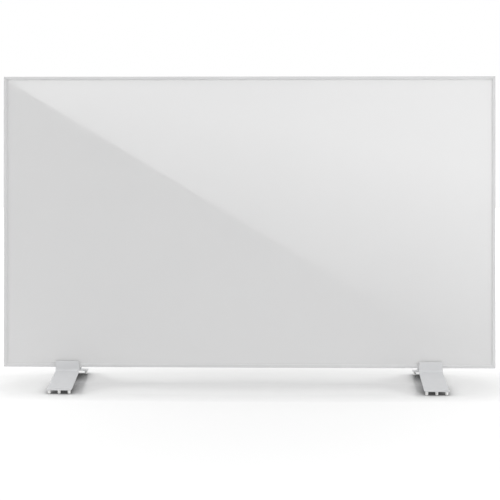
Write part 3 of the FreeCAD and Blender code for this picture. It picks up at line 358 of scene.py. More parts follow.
def moulded(name, colour, paler, roughness, grain):
    """Moulded plastic with the fine spark-eroded grain of its tool."""
    plastic = finish(name, colour, roughness)
    clouded(plastic, 30, colour, paler)
    gloss_cloud = pattern(plastic, "Noise", 500, Detail=3.0)
    roughen(plastic, gloss_cloud, roughness - GLOSS_SPREAD, roughness + GLOSS_SPREAD)
    relief(plastic, pattern(plastic, "Noise", 1800, Detail=2.0), grain)
    return plastic


black_nylon = moulded("black_nylon", (0.018, 0.018, 0.019), (0.026, 0.026, 0.027), 0.46, 0.00003)
dress(black_nylon, "cutout_bodies", "gland_locknut")
brown_insulation = moulded(
    "brown_insulation", BROWN_INSULATION, (0.21, 0.10, 0.05), LEAD_ROUGHNESS, LEAD_GRAIN)
dress(brown_insulation, "live_lead", "switched_lead", "cutout_link_lead", "track_lead")
blue_insulation = moulded(
    "blue_insulation", BLUE_INSULATION, (0.06, 0.17, 0.47), LEAD_ROUGHNESS, LEAD_GRAIN)
dress(blue_insulation, "neutral_lead")
earth_insulation = moulded(
    "earth_insulation", EARTH_GREEN, EARTH_GREEN, LEAD_ROUGHNESS, LEAD_GRAIN)
earth_bands = pattern(earth_insulation, "Wave", 90, (1, 0, 0.4))
shade(earth_insulation, earth_bands, EARTH_GREEN, EARTH_YELLOW, 0.62, 0.66)
dress(earth_insulation, "earth_lead")

# Rear cover: 0.8 mm steel sheet, pressed into a low field that makes room for the leads, and coated
# white like the frame. Its bent edges keep the soft radii of the press tool.
SHEET = 0.0008
FIELD_START = 0.0426
FIELD_END = 0.0516
FIELD_CORNER = 0.026
SHEET_CORNER = 0.0006
PRESS_STEPS = 10
NUT_HOLE_RADIUS = 0.0045
NUT_FLANGE_RADIUS = 0.0060
FULL_TURN = math.radians(360)
cover_low, cover_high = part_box("rear_cover")
cover_middle, cover_half = (cover_low + cover_high) / 2, (cover_high - cover_low) / 2
sheet_back = cover_low.y + SHEET
field_rise = cover_high.y - sheet_back
nut_low, nut_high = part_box("wall_rivet_nuts")


def baked(piece):
    """Turns a piece with its modifiers into a plain mesh."""
    graph = bpy.context.evaluated_depsgraph_get()
    mesh = bpy.data.meshes.new_from_object(piece.evaluated_get(graph))
    piece.modifiers.clear()
    piece.data = mesh
    mesh.shade_smooth()
    mesh.set_sharp_from_angle(angle=SMOOTH_UP_TO)
    return piece


def hollowed(piece, cutter):
    """Takes a cutter's shape out of a piece. The cutter is used up."""
    cut = piece.modifiers.new("cut", "BOOLEAN")
    cut.object = cutter
    cut.solver = "EXACT"
    baked(piece)
    bpy.data.objects.remove(cutter)
    return piece


def turned_ring(radius, along, sides, dip=None):
    """Ring about the Y axis. A dip takes its value at each angle off the radius."""
    ring = []
    for step in range(sides):
        angle = FULL_TURN * step / sides
        reach = radius - dip(angle) if dip else radius
        ring.append((reach * math.cos(angle), along, reach * math.sin(angle)))
    return ring


def turned(name, outline, material, sides=40):
    """Shape turned about the Y axis, from radius and distance along it."""
    rings = [turned_ring(radius, along, sides) for radius, along in outline]
    return lofted(name, rings, material)


def drilled(piece, places, radius, length):
    """Takes round holes out of a piece, each as far before as behind its place along Y."""
    drills = bmesh.new()
    for place in places:
        bar = turned("drill", [(radius, -length / 2), (radius, length / 2)], piece.data.materials[0])
        bar.data.transform(Matrix.Translation(place))
        drills.from_mesh(bar.data)
        bpy.data.objects.remove(bar)
    mesh = bpy.data.meshes.new("drills")
    drills.to_mesh(mesh)
    drills.free()
    return hollowed(piece, placed("drills", mesh, piece.data.materials[0]))


def sheet_ring(inset, corner, y):
    """Rounded rectangle inside the sheet's outline, as points at a depth."""
    half_x, half_z = cover_half.x - inset, cover_half.z - inset
    corners = [(x * half_x, z * half_z, corner) for x, z in ((-1, -1), (1, -1), (1, 1), (-1, 1))]
    return [(x, y, cover_middle.z + z) for x, z in rounded_outline(corners, steps=8)]


def press_rings(base, rise):
    """Rings up the drawn edge of the field, which leaves and meets the flats smoothly."""
    rings = []
    for step in range(PRESS_STEPS + 1):
        share = step / PRESS_STEPS
        inset = FIELD_START + share * (FIELD_END - FIELD_START)
        height = rise * (share - math.sin(FULL_TURN * share) / FULL_TURN)
        rings.append(sheet_ring(inset, FIELD_CORNER, base + height))
    return rings


sheet_coat = finish("sheet_powder_coat", (0.62, 0.62, 0.615), 0.5)
clouded(sheet_coat, 5, (0.595, 0.595, 0.59), (0.63, 0.63, 0.625))
roughen(sheet_coat, pattern(sheet_coat, "Noise", 45, Detail=4.0), 0.44, 0.58)
relief(sheet_coat, pattern(sheet_coat, "Noise", 1100, Detail=3.0), 0.00005)
cover_rings = list(reversed(press_rings(cover_low.y, field_rise)))
cover_rings += [sheet_ring(0, SHEET_CORNER, cover_low.y), sheet_ring(0, SHEET_CORNER, sheet_back)]
cover_rings += press_rings(sheet_back, field_rise)
cover_sheet = lofted("cover_sheet", cover_rings, sheet_coat)
nut_places = [
    Vector((x, cover_high.y, z))
    for x in (nut_low.x + NUT_FLANGE_RADIUS, nut_high.x - NUT_FLANGE_RADIUS)
    for z in (nut_low.z + NUT_FLANGE_RADIUS, nut_high.z - NUT_FLANGE_RADIUS)
]
drilled(cover_sheet, nut_places, NUT_HOLE_RADIUS, 4 * SHEET)
adopt(cover_sheet, "panel", "cover_white", "rear_cover")

# Cover screws: zinc plated M3 pan heads with a cross recess, five along each long edge and three up
# each side. They hold the rear cover against the flanges of the frame.
COVER_HEAD_RADIUS = 0.00285
COVER_SHANK_RADIUS = 0.0015
COVER_SHANK_LENGTH = 0.0080
COVER_SCREW_END = 0.030
COVER_SCREW_SEED = 3
SCREWS_ACROSS = 5
HEAD_HEIGHT = 0.0018
HEAD_ROUNDING = 0.0007
EYE_SHARE = 0.05
POINT_EYE_SHARE = 0.2
POINT_RADIUS_SHARE = 0.6
STRAIGHT_SHARE = 0.9
RECESS_DEPTH = 0.0012
RECESS_REACH_SHARE = 0.55
RECESS_WIDTH_SHARE = 0.15
RECESS_MOUTH_SHARE = 1.05
RECESS_TOP_SHARE = 1.1
RECESS_FLOOR_REACH = 0.55
RECESS_FLOOR_WIDTH = 0.6


def cross_ring(reach, half_width, y):
    """Outline of the cross recess at a depth."""
    quarter = [(half_width, half_width), (reach, half_width), (reach, -half_width)]
    points = []
    for step in range(4):
        turn = Matrix.Rotation(-step * math.pi / 2, 2)
        points += [turn @ Vector(corner) for corner in quarter]
    return [(x, y, z) for x, z in points]


def quarter_round(steps):
    """Pairs along a quarter round of radius 1: the first falls to 0 while the second grows to 1."""
    angles = [step / steps * math.pi / 2 for step in range(steps + 1)]
    return [(1 - math.sin(angle), 1 - math.cos(angle)) for angle in angles]


def pan_screw(head_radius, shank_radius, length, material):
    """Screw with its head on the origin's +Y side, and a cross recess in the head."""
    outline = [
        (shank_radius * POINT_EYE_SHARE, -length), (shank_radius * POINT_RADIUS_SHARE, -length),
        (shank_radius, -length * STRAIGHT_SHARE), (shank_radius, 0), (head_radius, 0),
    ]
    for fall, growth in quarter_round(6):
        outline.append((head_radius - HEAD_ROUNDING * growth, HEAD_HEIGHT - HEAD_ROUNDING * fall))
    outline.append((head_radius * EYE_SHARE, HEAD_HEIGHT))
    screw = turned("screw", outline, material)
    reach, half_width = head_radius * RECESS_REACH_SHARE, head_radius * RECESS_WIDTH_SHARE
    mouth_reach, mouth_width = reach * RECESS_MOUTH_SHARE, half_width * RECESS_MOUTH_SHARE
    floor_reach, floor_width = reach * RECESS_FLOOR_REACH, half_width * RECESS_FLOOR_WIDTH
    recess = lofted("recess", [
        cross_ring(mouth_reach, mouth_width, HEAD_HEIGHT * RECESS_TOP_SHARE),
        cross_ring(floor_reach, floor_width, HEAD_HEIGHT - RECESS_DEPTH),
    ], material)
    return hollowed(screw, recess)


def fastener_tree():
    """Nodes that set one fastener on every point, each turned at random about its own Y axis."""
    tree = bpy.data.node_groups.new("fasteners_on_points", "GeometryNodeTree")
    for title, kind in (("Geometry", "Geometry"), ("Fastener", "Object"), ("Most turn", "Float"),
                        ("Seed", "Int"), ("Finish", "Material")):
        tree.interface.new_socket(title, in_out="INPUT", socket_type="NodeSocket" + kind)
    tree.interface.new_socket("Geometry", in_out="OUTPUT", socket_type="NodeSocketGeometry")
    start, end = tree.nodes.new("NodeGroupInput"), tree.nodes.new("NodeGroupOutput")
    fastener = tree.nodes.new("GeometryNodeObjectInfo")
    limit = tree.nodes.new("ShaderNodeCombineXYZ")
    turn = tree.nodes.new("FunctionNodeRandomValue")
    turn.data_type = "FLOAT_VECTOR"
    turn.inputs[0].default_value = (0, 0, 0)
    instances = tree.nodes.new("GeometryNodeInstanceOnPoints")
    solid = tree.nodes.new("GeometryNodeRealizeInstances")
    coat = tree.nodes.new("GeometryNodeSetMaterial")
    for source, target in (
        (start.outputs["Fastener"], fastener.inputs["Object"]),
        (start.outputs["Most turn"], limit.inputs["Y"]),
        (limit.outputs["Vector"], turn.inputs[1]),
        (start.outputs["Seed"], turn.inputs["Seed"]),
        (start.outputs["Geometry"], instances.inputs["Points"]),
        (fastener.outputs["Geometry"], instances.inputs["Instance"]),
        (turn.outputs[0], instances.inputs["Rotation"]),
        (instances.outputs["Instances"], solid.inputs["Geometry"]),
        (solid.outputs["Geometry"], coat.inputs["Geometry"]),
        (start.outputs["Finish"], coat.inputs["Material"]),
        (coat.outputs["Geometry"], end.inputs["Geometry"]),
    ):
        tree.links.new(source, target)
    return tree


fasteners_on_points = fastener_tree()


def repeated(name, fastener, places, most_turn, seed, material):
    """One mesh with a fastener at every place. The single fastener is used up."""
    points = bpy.data.meshes.new(name)
    points.from_pydata(places, [], [])
    piece = bpy.data.objects.new(name, points)
    bpy.context.scene.collection.objects.link(piece)
    nodes = piece.modifiers.new("fasteners", "NODES")
    nodes.node_group = fasteners_on_points
    settings = {"Fastener": fastener, "Most turn": most_turn, "Seed": seed, "Finish": material}
    for item in fasteners_on_points.interface.items_tree:
        if item.name in settings:
            nodes[item.identifier] = settings[item.name]
    baked(piece)
    bpy.data.objects.remove(fastener)
    return piece


screws_low, screws_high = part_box("rear_cover_screws")
screw_places = []
for z in (screws_low.z + COVER_HEAD_RADIUS, screws_high.z - COVER_HEAD_RADIUS):
    for step in range(SCREWS_ACROSS):
        x = (right_end - COVER_SCREW_END) * (2 * step / (SCREWS_ACROSS - 1) - 1)
        screw_places.append((x, sheet_back, z))
for x in (screws_low.x + COVER_HEAD_RADIUS, screws_high.x - COVER_HEAD_RADIUS):
    for z in (panel_low + COVER_SCREW_END, panel_middle, panel_high - COVER_SCREW_END):
        screw_places.append((x, sheet_back, z))
cover_screw = pan_screw(COVER_HEAD_RADIUS, COVER_SHANK_RADIUS, COVER_SHANK_LENGTH, zinc_plate)
cover_screws = repeated("cover_screws", cover_screw, screw_places, FULL_TURN, COVER_SCREW_SEED, zinc_plate)
adopt(cover_screws, "panel", "zinc_plate", "rear_cover_screws")

# Wall nuts: closed M6 rivet nuts set in the raised field, for the bolts of a wall bracket. Each shows
# a thin flange round its threaded mouth.
NUT_BORE_RADIUS = 0.0030
NUT_SHANK_RADIUS = 0.0044
NUT_PITCH = 0.0010
NUT_THREAD_DEPTH = 0.0004
NUT_CHAMFER = 0.0003
NUT_SEED = 5

nut_flange = nut_high.y - cover_high.y
nut_end = nut_low.y - cover_high.y
nut_floor = nut_end + NUT_SHANK_RADIUS - NUT_BORE_RADIUS
nut_eye = NUT_BORE_RADIUS * EYE_SHARE
nut_outline = [(nut_eye, nut_floor), (NUT_BORE_RADIUS, nut_floor)]
for step in range(1, int((nut_flange - nut_floor) / NUT_PITCH)):
    crest = nut_floor + step * NUT_PITCH
    nut_outline.append((NUT_BORE_RADIUS, crest - NUT_PITCH / 2))
    nut_outline.append((NUT_BORE_RADIUS + NUT_THREAD_DEPTH, crest))
nut_outline += [
    (NUT_BORE_RADIUS, nut_flange - 2 * NUT_CHAMFER),
    (NUT_BORE_RADIUS + 2 * NUT_CHAMFER, nut_flange),
    (NUT_FLANGE_RADIUS - NUT_CHAMFER, nut_flange),
    (NUT_FLANGE_RADIUS, nut_flange - NUT_CHAMFER),
    (NUT_FLANGE_RADIUS, 0),
    (NUT_SHANK_RADIUS, 0),
    (NUT_SHANK_RADIUS, nut_end + NUT_CHAMFER),
    (NUT_SHANK_RADIUS - NUT_CHAMFER, nut_end),
    (nut_eye, nut_end),
]
wall_nut = turned("wall_nut", nut_outline, zinc_plate)
wall_nuts = repeated("wall_nuts", wall_nut, nut_places, FULL_TURN, NUT_SEED, zinc_plate)
adopt(wall_nuts, "panel", "zinc_plate", "wall_rivet_nuts")

# Terminal box: moulded white plastic, screwed to the raised field from inside, with a silicone gasket
# and a lid on four small screws. The mains cable is joined in it, on a block of glazed ceramic.
BOX_EASED_EDGE = 0.0004
LID_EASED_EDGE = 0.00015
LID_HEAD_RADIUS = 0.00266
LID_SHANK_RADIUS = 0.0014
LID_SHANK_LENGTH = 0.0120
LID_SCREW_SEED = 8
BOX_WHITE = (0.700, 0.700, 0.692)
MERGE_DISTANCE = 0.000002
FLAT_WITHIN = math.radians(0.5)


def eased(node, name, width, material):
    """Merged copy of a CAD piece with a small round on its sharp edges."""
    shape = bmesh.new()
    shape.from_mesh(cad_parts[node].data)
    bmesh.ops.remove_doubles(shape, verts=shape.verts, dist=MERGE_DISTANCE)
    bmesh.ops.dissolve_limit(shape, angle_limit=FLAT_WITHIN, verts=shape.verts, edges=shape.edges)
    shape.verts.index_update()
    mesh = bpy.data.meshes.new(name)
    corners = [corner.co for corner in shape.verts]
    mesh.from_pydata(corners, [], [[corner.index for corner in face.verts] for face in shape.faces])
    shape.free()
    return ease(placed(name, mesh, material), width)


box_plastic = moulded("box_plastic", BOX_WHITE, (0.715, 0.715, 0.707), 0.42, 0.00003)
for node, name, width, material, slot in (
    ("terminal_box", "box_shell", BOX_EASED_EDGE, box_plastic, "white_plastic"),
    ("terminal_box_lid", "box_lid", LID_EASED_EDGE, box_plastic, "white_plastic"),
    ("lid_gasket", "box_gasket", LID_EASED_EDGE, seal_silicone, "silicone_grey"),
):
    adopt(eased(node, name, width, material), "panel", slot, node)

lid_screws_low, lid_screws_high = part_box("lid_screws")
lid_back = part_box("terminal_box_lid")[1].y
lid_screw_places = [
    (x, lid_back, z)
    for x in (lid_screws_low.x + LID_HEAD_RADIUS, lid_screws_high.x - LID_HEAD_RADIUS)
    for z in (lid_screws_low.z + LID_HEAD_RADIUS, lid_screws_high.z - LID_HEAD_RADIUS)
]
lid_screw = pan_screw(LID_HEAD_RADIUS, LID_SHANK_RADIUS, LID_SHANK_LENGTH, zinc_plate)
box_lid_screws = repeated(
    "box_lid_screws", lid_screw, lid_screw_places, FULL_TURN, LID_SCREW_SEED, zinc_plate)
adopt(box_lid_screws, "panel", "zinc_plate", "lid_screws")

glazed_ceramic = finish("glazed_ceramic", (0.74, 0.72, 0.66), 0.16, Coat_Weight=0.4)
clouded(glazed_ceramic, 60, (0.70, 0.67, 0.60), (0.78, 0.76, 0.71))
roughen(glazed_ceramic, pattern(glazed_ceramic, "Noise", 260, Detail=3.0), 0.10, 0.26)
dress(glazed_ceramic, "terminal_block")

black_rubber = finish("black_rubber", (0.020, 0.020, 0.021), 0.7)
clouded(black_rubber, 160, (0.016, 0.016, 0.017), (0.030, 0.030, 0.031))
relief(black_rubber, pattern(black_rubber, "Noise", 1200, Detail=3.0), 0.00004)
dress(black_rubber, "cable_grommet")

# Cable gland: black nylon, with a hexagon under the box and a ribbed cap nut that squeezes a rubber
# seal. It is left open, because no cable is shown.
GLAND_MOUTH = 0.0046
GLAND_INNER = 0.0075
GLAND_CAP_WALL = 0.0022
GLAND_RIBS = 20
GLAND_RIB_DEPTH = 0.0005
GLAND_EASED_EDGE = 0.0003
GLAND_BORE = 0.0040
MOUTH_CHAMFER = 0.0004
CAP_ROUND_STEPS = 8
RIBS_FROM_STEP = 6
RIBS_END_SHARE = 0.90
CAP_NECK_SHARE = 0.94
RUBBER_LEAD_IN = 0.0006
LEAD_IN_SHARE = 0.3
RING_POINTS = 240
UPRIGHT = Matrix.Rotation(math.pi / 2, 4, "X")


def fluted_ring(radius, along, dip=None):
    """Fine ring about the Y axis, for skins with ribs, flutes or a thread."""
    return turned_ring(radius, along, RING_POINTS, dip)


def gland_valley(angle):
    """Depth between the ribs of the cap nut, round at the crest and in the valley."""
    return GLAND_RIB_DEPTH * (1 - math.cos(GLAND_RIBS * angle)) / 2


cap_low, cap_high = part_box("gland_nut")
cap_radius = (cap_high.x - cap_low.x) / 2
cap_height = cap_high.z - cap_low.z
cap_neck = cap_radius - GLAND_RIB_DEPTH
cap_rings = []
for step, (fall, growth) in enumerate(quarter_round(CAP_ROUND_STEPS)):
    ribs = gland_valley if step >= RIBS_FROM_STEP else None
    radius = cap_radius - GLAND_CAP_WALL * fall
    cap_rings.append(fluted_ring(radius, GLAND_CAP_WALL * growth, ribs))
cap_rings.append(fluted_ring(cap_radius, cap_height * RIBS_END_SHARE, gland_valley))
for radius, along in (
    (cap_neck, cap_height * CAP_NECK_SHARE), (cap_neck, cap_height),
    (GLAND_INNER, cap_height), (GLAND_INNER, GLAND_CAP_WALL),
    (GLAND_MOUTH, GLAND_CAP_WALL), (GLAND_MOUTH, MOUTH_CHAMFER), (GLAND_MOUTH + MOUTH_CHAMFER, 0),
):
    cap_rings.append(fluted_ring(radius, along))
gland_cap = lofted("gland_cap", cap_rings, black_nylon, loop=True)
cap_place = Vector(((cap_low.x + cap_high.x) / 2, (cap_low.y + cap_high.y) / 2, cap_low.z))
gland_cap.data.transform(Matrix.Translation(cap_place) @ UPRIGHT)
adopt(gland_cap, "panel", "black_plastic", "gland_nut")

rubber_low, rubber_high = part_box("gland_seal")
rubber_radius = (rubber_high.x - rubber_low.x) / 2
rubber_height = rubber_high.z - rubber_low.z
lead_in_bend = RUBBER_LEAD_IN * LEAD_IN_SHARE
rubber_rings = [
    fluted_ring(radius, along)
    for radius, along in (
        (rubber_radius, 0), (rubber_radius, rubber_height), (GLAND_BORE, rubber_height),
        (GLAND_BORE, RUBBER_LEAD_IN), (GLAND_BORE + lead_in_bend, lead_in_bend),
        (GLAND_BORE + RUBBER_LEAD_IN, 0),
    )
]
gland_rubber = lofted("gland_rubber", rubber_rings, black_rubber, loop=True)
rubber_place = Vector((cap_place.x, cap_place.y, rubber_low.z))
gland_rubber.data.transform(Matrix.Translation(rubber_place) @ UPRIGHT)
adopt(gland_rubber, "panel", "black_rubber", "gland_seal")
gland_hexagon = eased("gland_body", "gland_hexagon", GLAND_EASED_EDGE, black_nylon)
adopt(gland_hexagon, "panel", "black_plastic", "gland_body")

# Switch: a black rocker switch snapped into the side of the box, its rim standing on the wall and its
# dished rocker tipped to off.
SWITCH_EASED_EDGE = 0.0003
ROCKER_EASED_EDGE = 0.00035

rocker_plastic = moulded("rocker_plastic", (0.016, 0.016, 0.017), (0.022, 0.022, 0.023), 0.3, 0.00001)
switch_housing = eased("switch_body", "switch_housing", SWITCH_EASED_EDGE, black_nylon)
adopt(switch_housing, "panel", "black_plastic", "switch_body")
rocker = eased("switch_rocker", "rocker", ROCKER_EASED_EDGE, rocker_plastic)
adopt(rocker, "switch_rocker", "black_plastic", "switch_rocker")

# Feet: two cut lengths of one aluminium extrusion, coated light grey. A channel takes the lower edge
# of the panel, and thin legs splay to flat toes in front and behind. The cut ends are broken smooth.
FOOT_WALL = 0.0030
FOOT_BEND_DROP = 0.0070
FOOT_BEND_RADIUS = 0.0050
FOOT_ARCH_RADIUS = 0.030
FOOT_CORNER_RADIUS = 0.0010
FOOT_CUT_EDGE = 0.0006
TOE_LENGTH = 0.014
CHANNEL_FILLET = 0.0006
LINER_INSET = 0.0010
FOOT_GREY = (0.556, 0.561, 0.570)
FOOT_GREY_DEEP = (0.534, 0.539, 0.548)
SCREW_HOLE_RADIUS = 0.00255


def foot_leg(side, outer, lip_top, foot_low, foot_high):
    """Corners of one leg from the top of its lip, out along the toe and back under the web."""
    bend, toe = panel_low - FOOT_BEND_DROP, foot_low.z + FOOT_WALL
    reach, inner = foot_high.y, outer - FOOT_WALL
    toe_start = reach - TOE_LENGTH
    fall = (bend - toe) / (toe_start - outer)
    drop = FOOT_WALL * math.hypot(1, fall)
    corners = [
        (outer, lip_top, FOOT_CORNER_RADIUS),
        (outer, bend, FOOT_BEND_RADIUS),
        (toe_start, toe, FOOT_ARCH_RADIUS),
        (reach, toe, FOOT_CORNER_RADIUS),
        (reach, foot_low.z, FOOT_CORNER_RADIUS),
        (outer + (bend - drop - foot_low.z) / fall, foot_low.z, FOOT_ARCH_RADIUS),
        (inner, bend + fall * FOOT_WALL - drop, FOOT_CORNER_RADIUS),
        (inner, panel_low - LINER_INSET - FOOT_WALL, FOOT_CORNER_RADIUS),
    ]
    return [(side * y, z, radius) for y, z, radius in corners]


def foot_outline(name):
    """Closed section of a foot as depth and height: the channel for the panel and two splayed legs."""
    foot_low, foot_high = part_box(name)
    liner_low, liner_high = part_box(name + "_liner")
    front_top = liner_high.z + LINER_INSET
    corners = foot_leg(-1, FOOT_WALL - liner_low.y, front_top, foot_low, foot_high)
    corners += reversed(foot_leg(1, FOOT_WALL + liner_high.y, foot_high.z, foot_low, foot_high))
    corners += [
        (liner_high.y, foot_high.z, FOOT_CORNER_RADIUS), (liner_high.y, liner_low.z, CHANNEL_FILLET),
        (liner_low.y, liner_low.z, CHANNEL_FILLET), (liner_low.y, front_top, FOOT_CORNER_RADIUS),
    ]
    return rounded_outline(corners, steps=8)


def extruded(name, section, low, high, material):
    """Length of a section given as depth and height, across the width of a box."""
    rings = [[(x, y, z) for y, z in section] for x in (low.x, high.x)]
    return lofted(name, rings, material)


foot_coat = finish("foot_powder_coat", FOOT_GREY, 0.46)
clouded(foot_coat, 9, FOOT_GREY_DEEP, FOOT_GREY)
roughen(foot_coat, pattern(foot_coat, "Noise", 70, Detail=3.0), 0.40, 0.54)
relief(foot_coat, pattern(foot_coat, "Noise", 900, Detail=2.0), 0.00003)

for side in ("left", "right"):
    node = side + "_foot"
    foot_low, foot_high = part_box(node)
    foot = extruded("foot_" + side, foot_outline(node), foot_low, foot_high, foot_coat)
    rear_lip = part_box(node + "_liner")[1].y + FOOT_WALL / 2
    hole_places = []
    for place in ("inner", "outer"):
        screw_low, screw_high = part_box(side + "_" + place + "_thumb_screw")
        middle = (screw_low + screw_high) / 2
        hole_places.append(Vector((middle.x, rear_lip, middle.z)))
    drilled(foot, hole_places, SCREW_HOLE_RADIUS, 3 * FOOT_WALL)
    adopt(ease(foot, FOOT_CUT_EDGE, segments=3), node, "foot_grey", node)

# Soft pieces of the feet: a silicone strip in the channel, which the panel stands on, nylon pads under
# the thumb screws, and three small pale bumpers pressed under each toe.
LINER_NOSE = 0.0004
BUMPER_RADIUS = 0.0032
BUMPER_TIP = 0.0026
BUMPER_ROUNDING = 0.0005
BUMPER_SPREAD = 0.0195
BUMPER_TURN = 0.0
BUMPER_SEED = 1

pale_silicone = finish("pale_silicone", (0.80, 0.80, 0.79), 0.55, IOR=SILICONE_INDEX)
clouded(pale_silicone, 120, (0.76, 0.76, 0.75), (0.84, 0.84, 0.83))
relief(pale_silicone, pattern(pale_silicone, "Noise", 900, Detail=2.0), 0.00003)
nylon = moulded("pad_nylon", (0.66, 0.66, 0.63), (0.70, 0.70, 0.68), 0.4, 0.00001)

for side in ("left", "right"):
    dress(nylon, side + "_foot_pads")
    low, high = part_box(side + "_foot_liner")
    section = rounded_outline([
        (low.y, high.z, LINER_NOSE), (low.y, low.z, CHANNEL_FILLET), (high.y, low.z, CHANNEL_FILLET),
        (high.y, panel_low, LINER_NOSE), (rail_front, panel_low, 0), (rail_front, high.z, LINER_NOSE),
    ])
    liner = extruded("liner_" + side, section, low, high, pale_silicone)
    adopt(liner, side + "_foot", "silicone_white", side + "_foot_liner")
    low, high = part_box(side + "_foot_bumpers")
    middle = (low.x + high.x) / 2
    height = high.z - low.z
    outline = [(BUMPER_RADIUS * EYE_SHARE, 0)]
    for fall, growth in quarter_round(4):
        outline.append((BUMPER_TIP - BUMPER_ROUNDING * fall, BUMPER_ROUNDING * growth))
    outline += [(BUMPER_RADIUS, height), (BUMPER_RADIUS * EYE_SHARE, height)]
    bumper = turned("bumper", outline, pale_silicone)
    bumper.data.transform(UPRIGHT)
    places = [
        (middle + step * BUMPER_SPREAD, y, 0)
        for y in (low.y + BUMPER_RADIUS, high.y - BUMPER_RADIUS)
        for step in (-1, 0, 1)
    ]
    bumpers = repeated("bumpers_" + side, bumper, places, BUMPER_TURN, BUMPER_SEED, pale_silicone)
    adopt(bumpers, side + "_foot", "silicone_white", side + "_foot_bumpers")

# Thumb screws: M5 screws with moulded black knobs, two through the rear lip of each foot. They press
# the nylon pads against the rear cover, and so clamp the panel in the channel.
THREAD_RADIUS = 0.0025
THREAD_PITCH = 0.0008
THREAD_DEPTH = 0.0004
THREAD_STEPS = 8
THREAD_TIP_SHARE = 0.6
COLLAR_RADIUS = 0.0045
COLLAR_LENGTH = 0.0020
COLLAR_ROUND = 0.0003
KNOB_LENGTH = 0.010
KNOB_EDGE = 0.0010
KNOB_FLUTES = 12
FLUTE_RADIUS = 0.0014
FLUTE_CREST = 0.0007
FACE_SHARE = 0.66
DISH_DEPTH = 0.0006
DISH_SHARES = ((FACE_SHARE, 0.0), (0.60, 0.25), (0.50, 0.7), (0.30, 0.95), (0.02, 1.0))
knob_low, knob_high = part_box("left_inner_thumb_screw")
knob_radius = (knob_high.x - knob_low.x) / 2


def thread_ring(along):
    """Ring of the thread, whose crest climbs round the screw."""
    def valley(angle):
        share = (along / THREAD_PITCH - angle / FULL_TURN) % 1
        return THREAD_DEPTH * abs(2 * share - 1)
    return fluted_ring(THREAD_RADIUS, along, valley)


def flute_dip(angle):
    """Depth of the knob's flutes under its round outline, with softened crests."""
    spacing = FULL_TURN / KNOB_FLUTES
    away = abs((angle + spacing / 2) % spacing - spacing / 2) * knob_radius
    if away >= FLUTE_RADIUS + FLUTE_CREST:
        return 0.0
    if away >= FLUTE_RADIUS - FLUTE_CREST:
        share = (FLUTE_RADIUS + FLUTE_CREST - away) / (2 * FLUTE_CREST)
        edge = math.sqrt(FLUTE_RADIUS ** 2 - (FLUTE_RADIUS - FLUTE_CREST) ** 2)
        return edge * share ** 2
    return math.sqrt(FLUTE_RADIUS ** 2 - away ** 2)


def thumb_screw(name, low, high, material):
    """Thumb screw from its threaded tip to its dished knob, in one skin."""
    knob_start = high.y - KNOB_LENGTH
    collar_start = knob_start - COLLAR_LENGTH
    rings = [fluted_ring(THREAD_RADIUS * THREAD_TIP_SHARE, low.y)]
    steps = int((collar_start - low.y) / THREAD_PITCH * THREAD_STEPS)
    rings += [thread_ring(low.y + (step + 1) * THREAD_PITCH / THREAD_STEPS) for step in range(steps)]
    for radius, along in (
        (THREAD_RADIUS, collar_start), (COLLAR_RADIUS - COLLAR_ROUND, collar_start),
        (COLLAR_RADIUS, collar_start + COLLAR_ROUND), (COLLAR_RADIUS, knob_start),
        (knob_radius * FACE_SHARE, knob_start),
    ):
        rings.append(fluted_ring(radius, along))
    for fall, growth in quarter_round(4):
        radius = knob_radius - KNOB_EDGE * fall
        rings.append(fluted_ring(radius, knob_start + KNOB_EDGE * growth, flute_dip))
    for fall, growth in quarter_round(4):
        radius = knob_radius - KNOB_EDGE * growth
        rings.append(fluted_ring(radius, high.y - KNOB_EDGE * fall, flute_dip))
    for share, sink in DISH_SHARES:
        rings.append(fluted_ring(knob_radius * share, high.y - DISH_DEPTH * sink))
    screw = lofted(name, rings, material)
    screw.data.transform(Matrix.Translation(((low.x + high.x) / 2, 0, (low.z + high.z) / 2)))
    return screw


knob_plastic = moulded("knob_plastic", (0.020, 0.020, 0.021), (0.028, 0.028, 0.029), 0.5, 0.00004)
for side in ("left", "right"):
    for place in ("inner", "outer"):
        node = side + "_" + place + "_thumb_screw"
        screw_low, screw_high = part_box(node)
        screw = thumb_screw("knob_" + side + "_" + place, screw_low, screw_high, knob_plastic)
        adopt(screw, node, "black_plastic", node)

# Studio: a white, faintly polished floor under a wide lamp and a soft lamp at each side. The soft
# shadow round the heater is partly cast by the lamps and partly painted shade, and painted shade makes
# the floor darker where the feet meet it. Two low lamps light the floor alone and lay the feet's
# shadows on it, and the glass mirrors a slanting white card in front as its bright field.
FLOOR_REACH = 8.0
FLOOR_WHITE = 0.52
FLOOR_GLOW_NEAR = 0.07
FLOOR_GLOW_FAR = 1.0
GLOW_FROM = 0.35
GLOW_TO = 3.0
GLOW_SLENDER = 0.5
SHADE_REACH = 0.20
SHADE_POWER = 0.4
CONTACT_REACH = 0.034
CONTACT_POWER = 1.2
FLOOR_POLISH = 0.40
POLISH_ROUGHNESS = 0.22
POLISH_FROM = 0.13
POLISH_END = 0.20
POLISH_SLENDER = 0.2
POLISH_WHITE = 0.88
FILL_LIGHT = 0.868
CARD_Y = -4.0
CARD_CORNERS = ((-1.848, 1.145), (1.270, -0.721), (2.4, -0.721), (2.4, 2.1), (-1.848, 2.1))
CARD_SLOPE = (0.220, 0.0, 0.9755)
CARD_FADE_FROM = -0.259
CARD_FADE_TO = 0.607
CARD_DIM = 1.0
CARD_BRIGHT = 4.15
PANEL_AIM = (0, 0, 0.35)
LOW_LAMP_X = 2.2
LOW_LAMP_Y = 0.1
LOW_LAMP_Z = 0.55
LOW_LAMP_AIM_X = 0.37
LOW_LAMP_SIZE = 0.5
LEFT_LOW_POWER = 60
RIGHT_LOW_POWER = 51
WHITE = (1, 1, 1, 1)


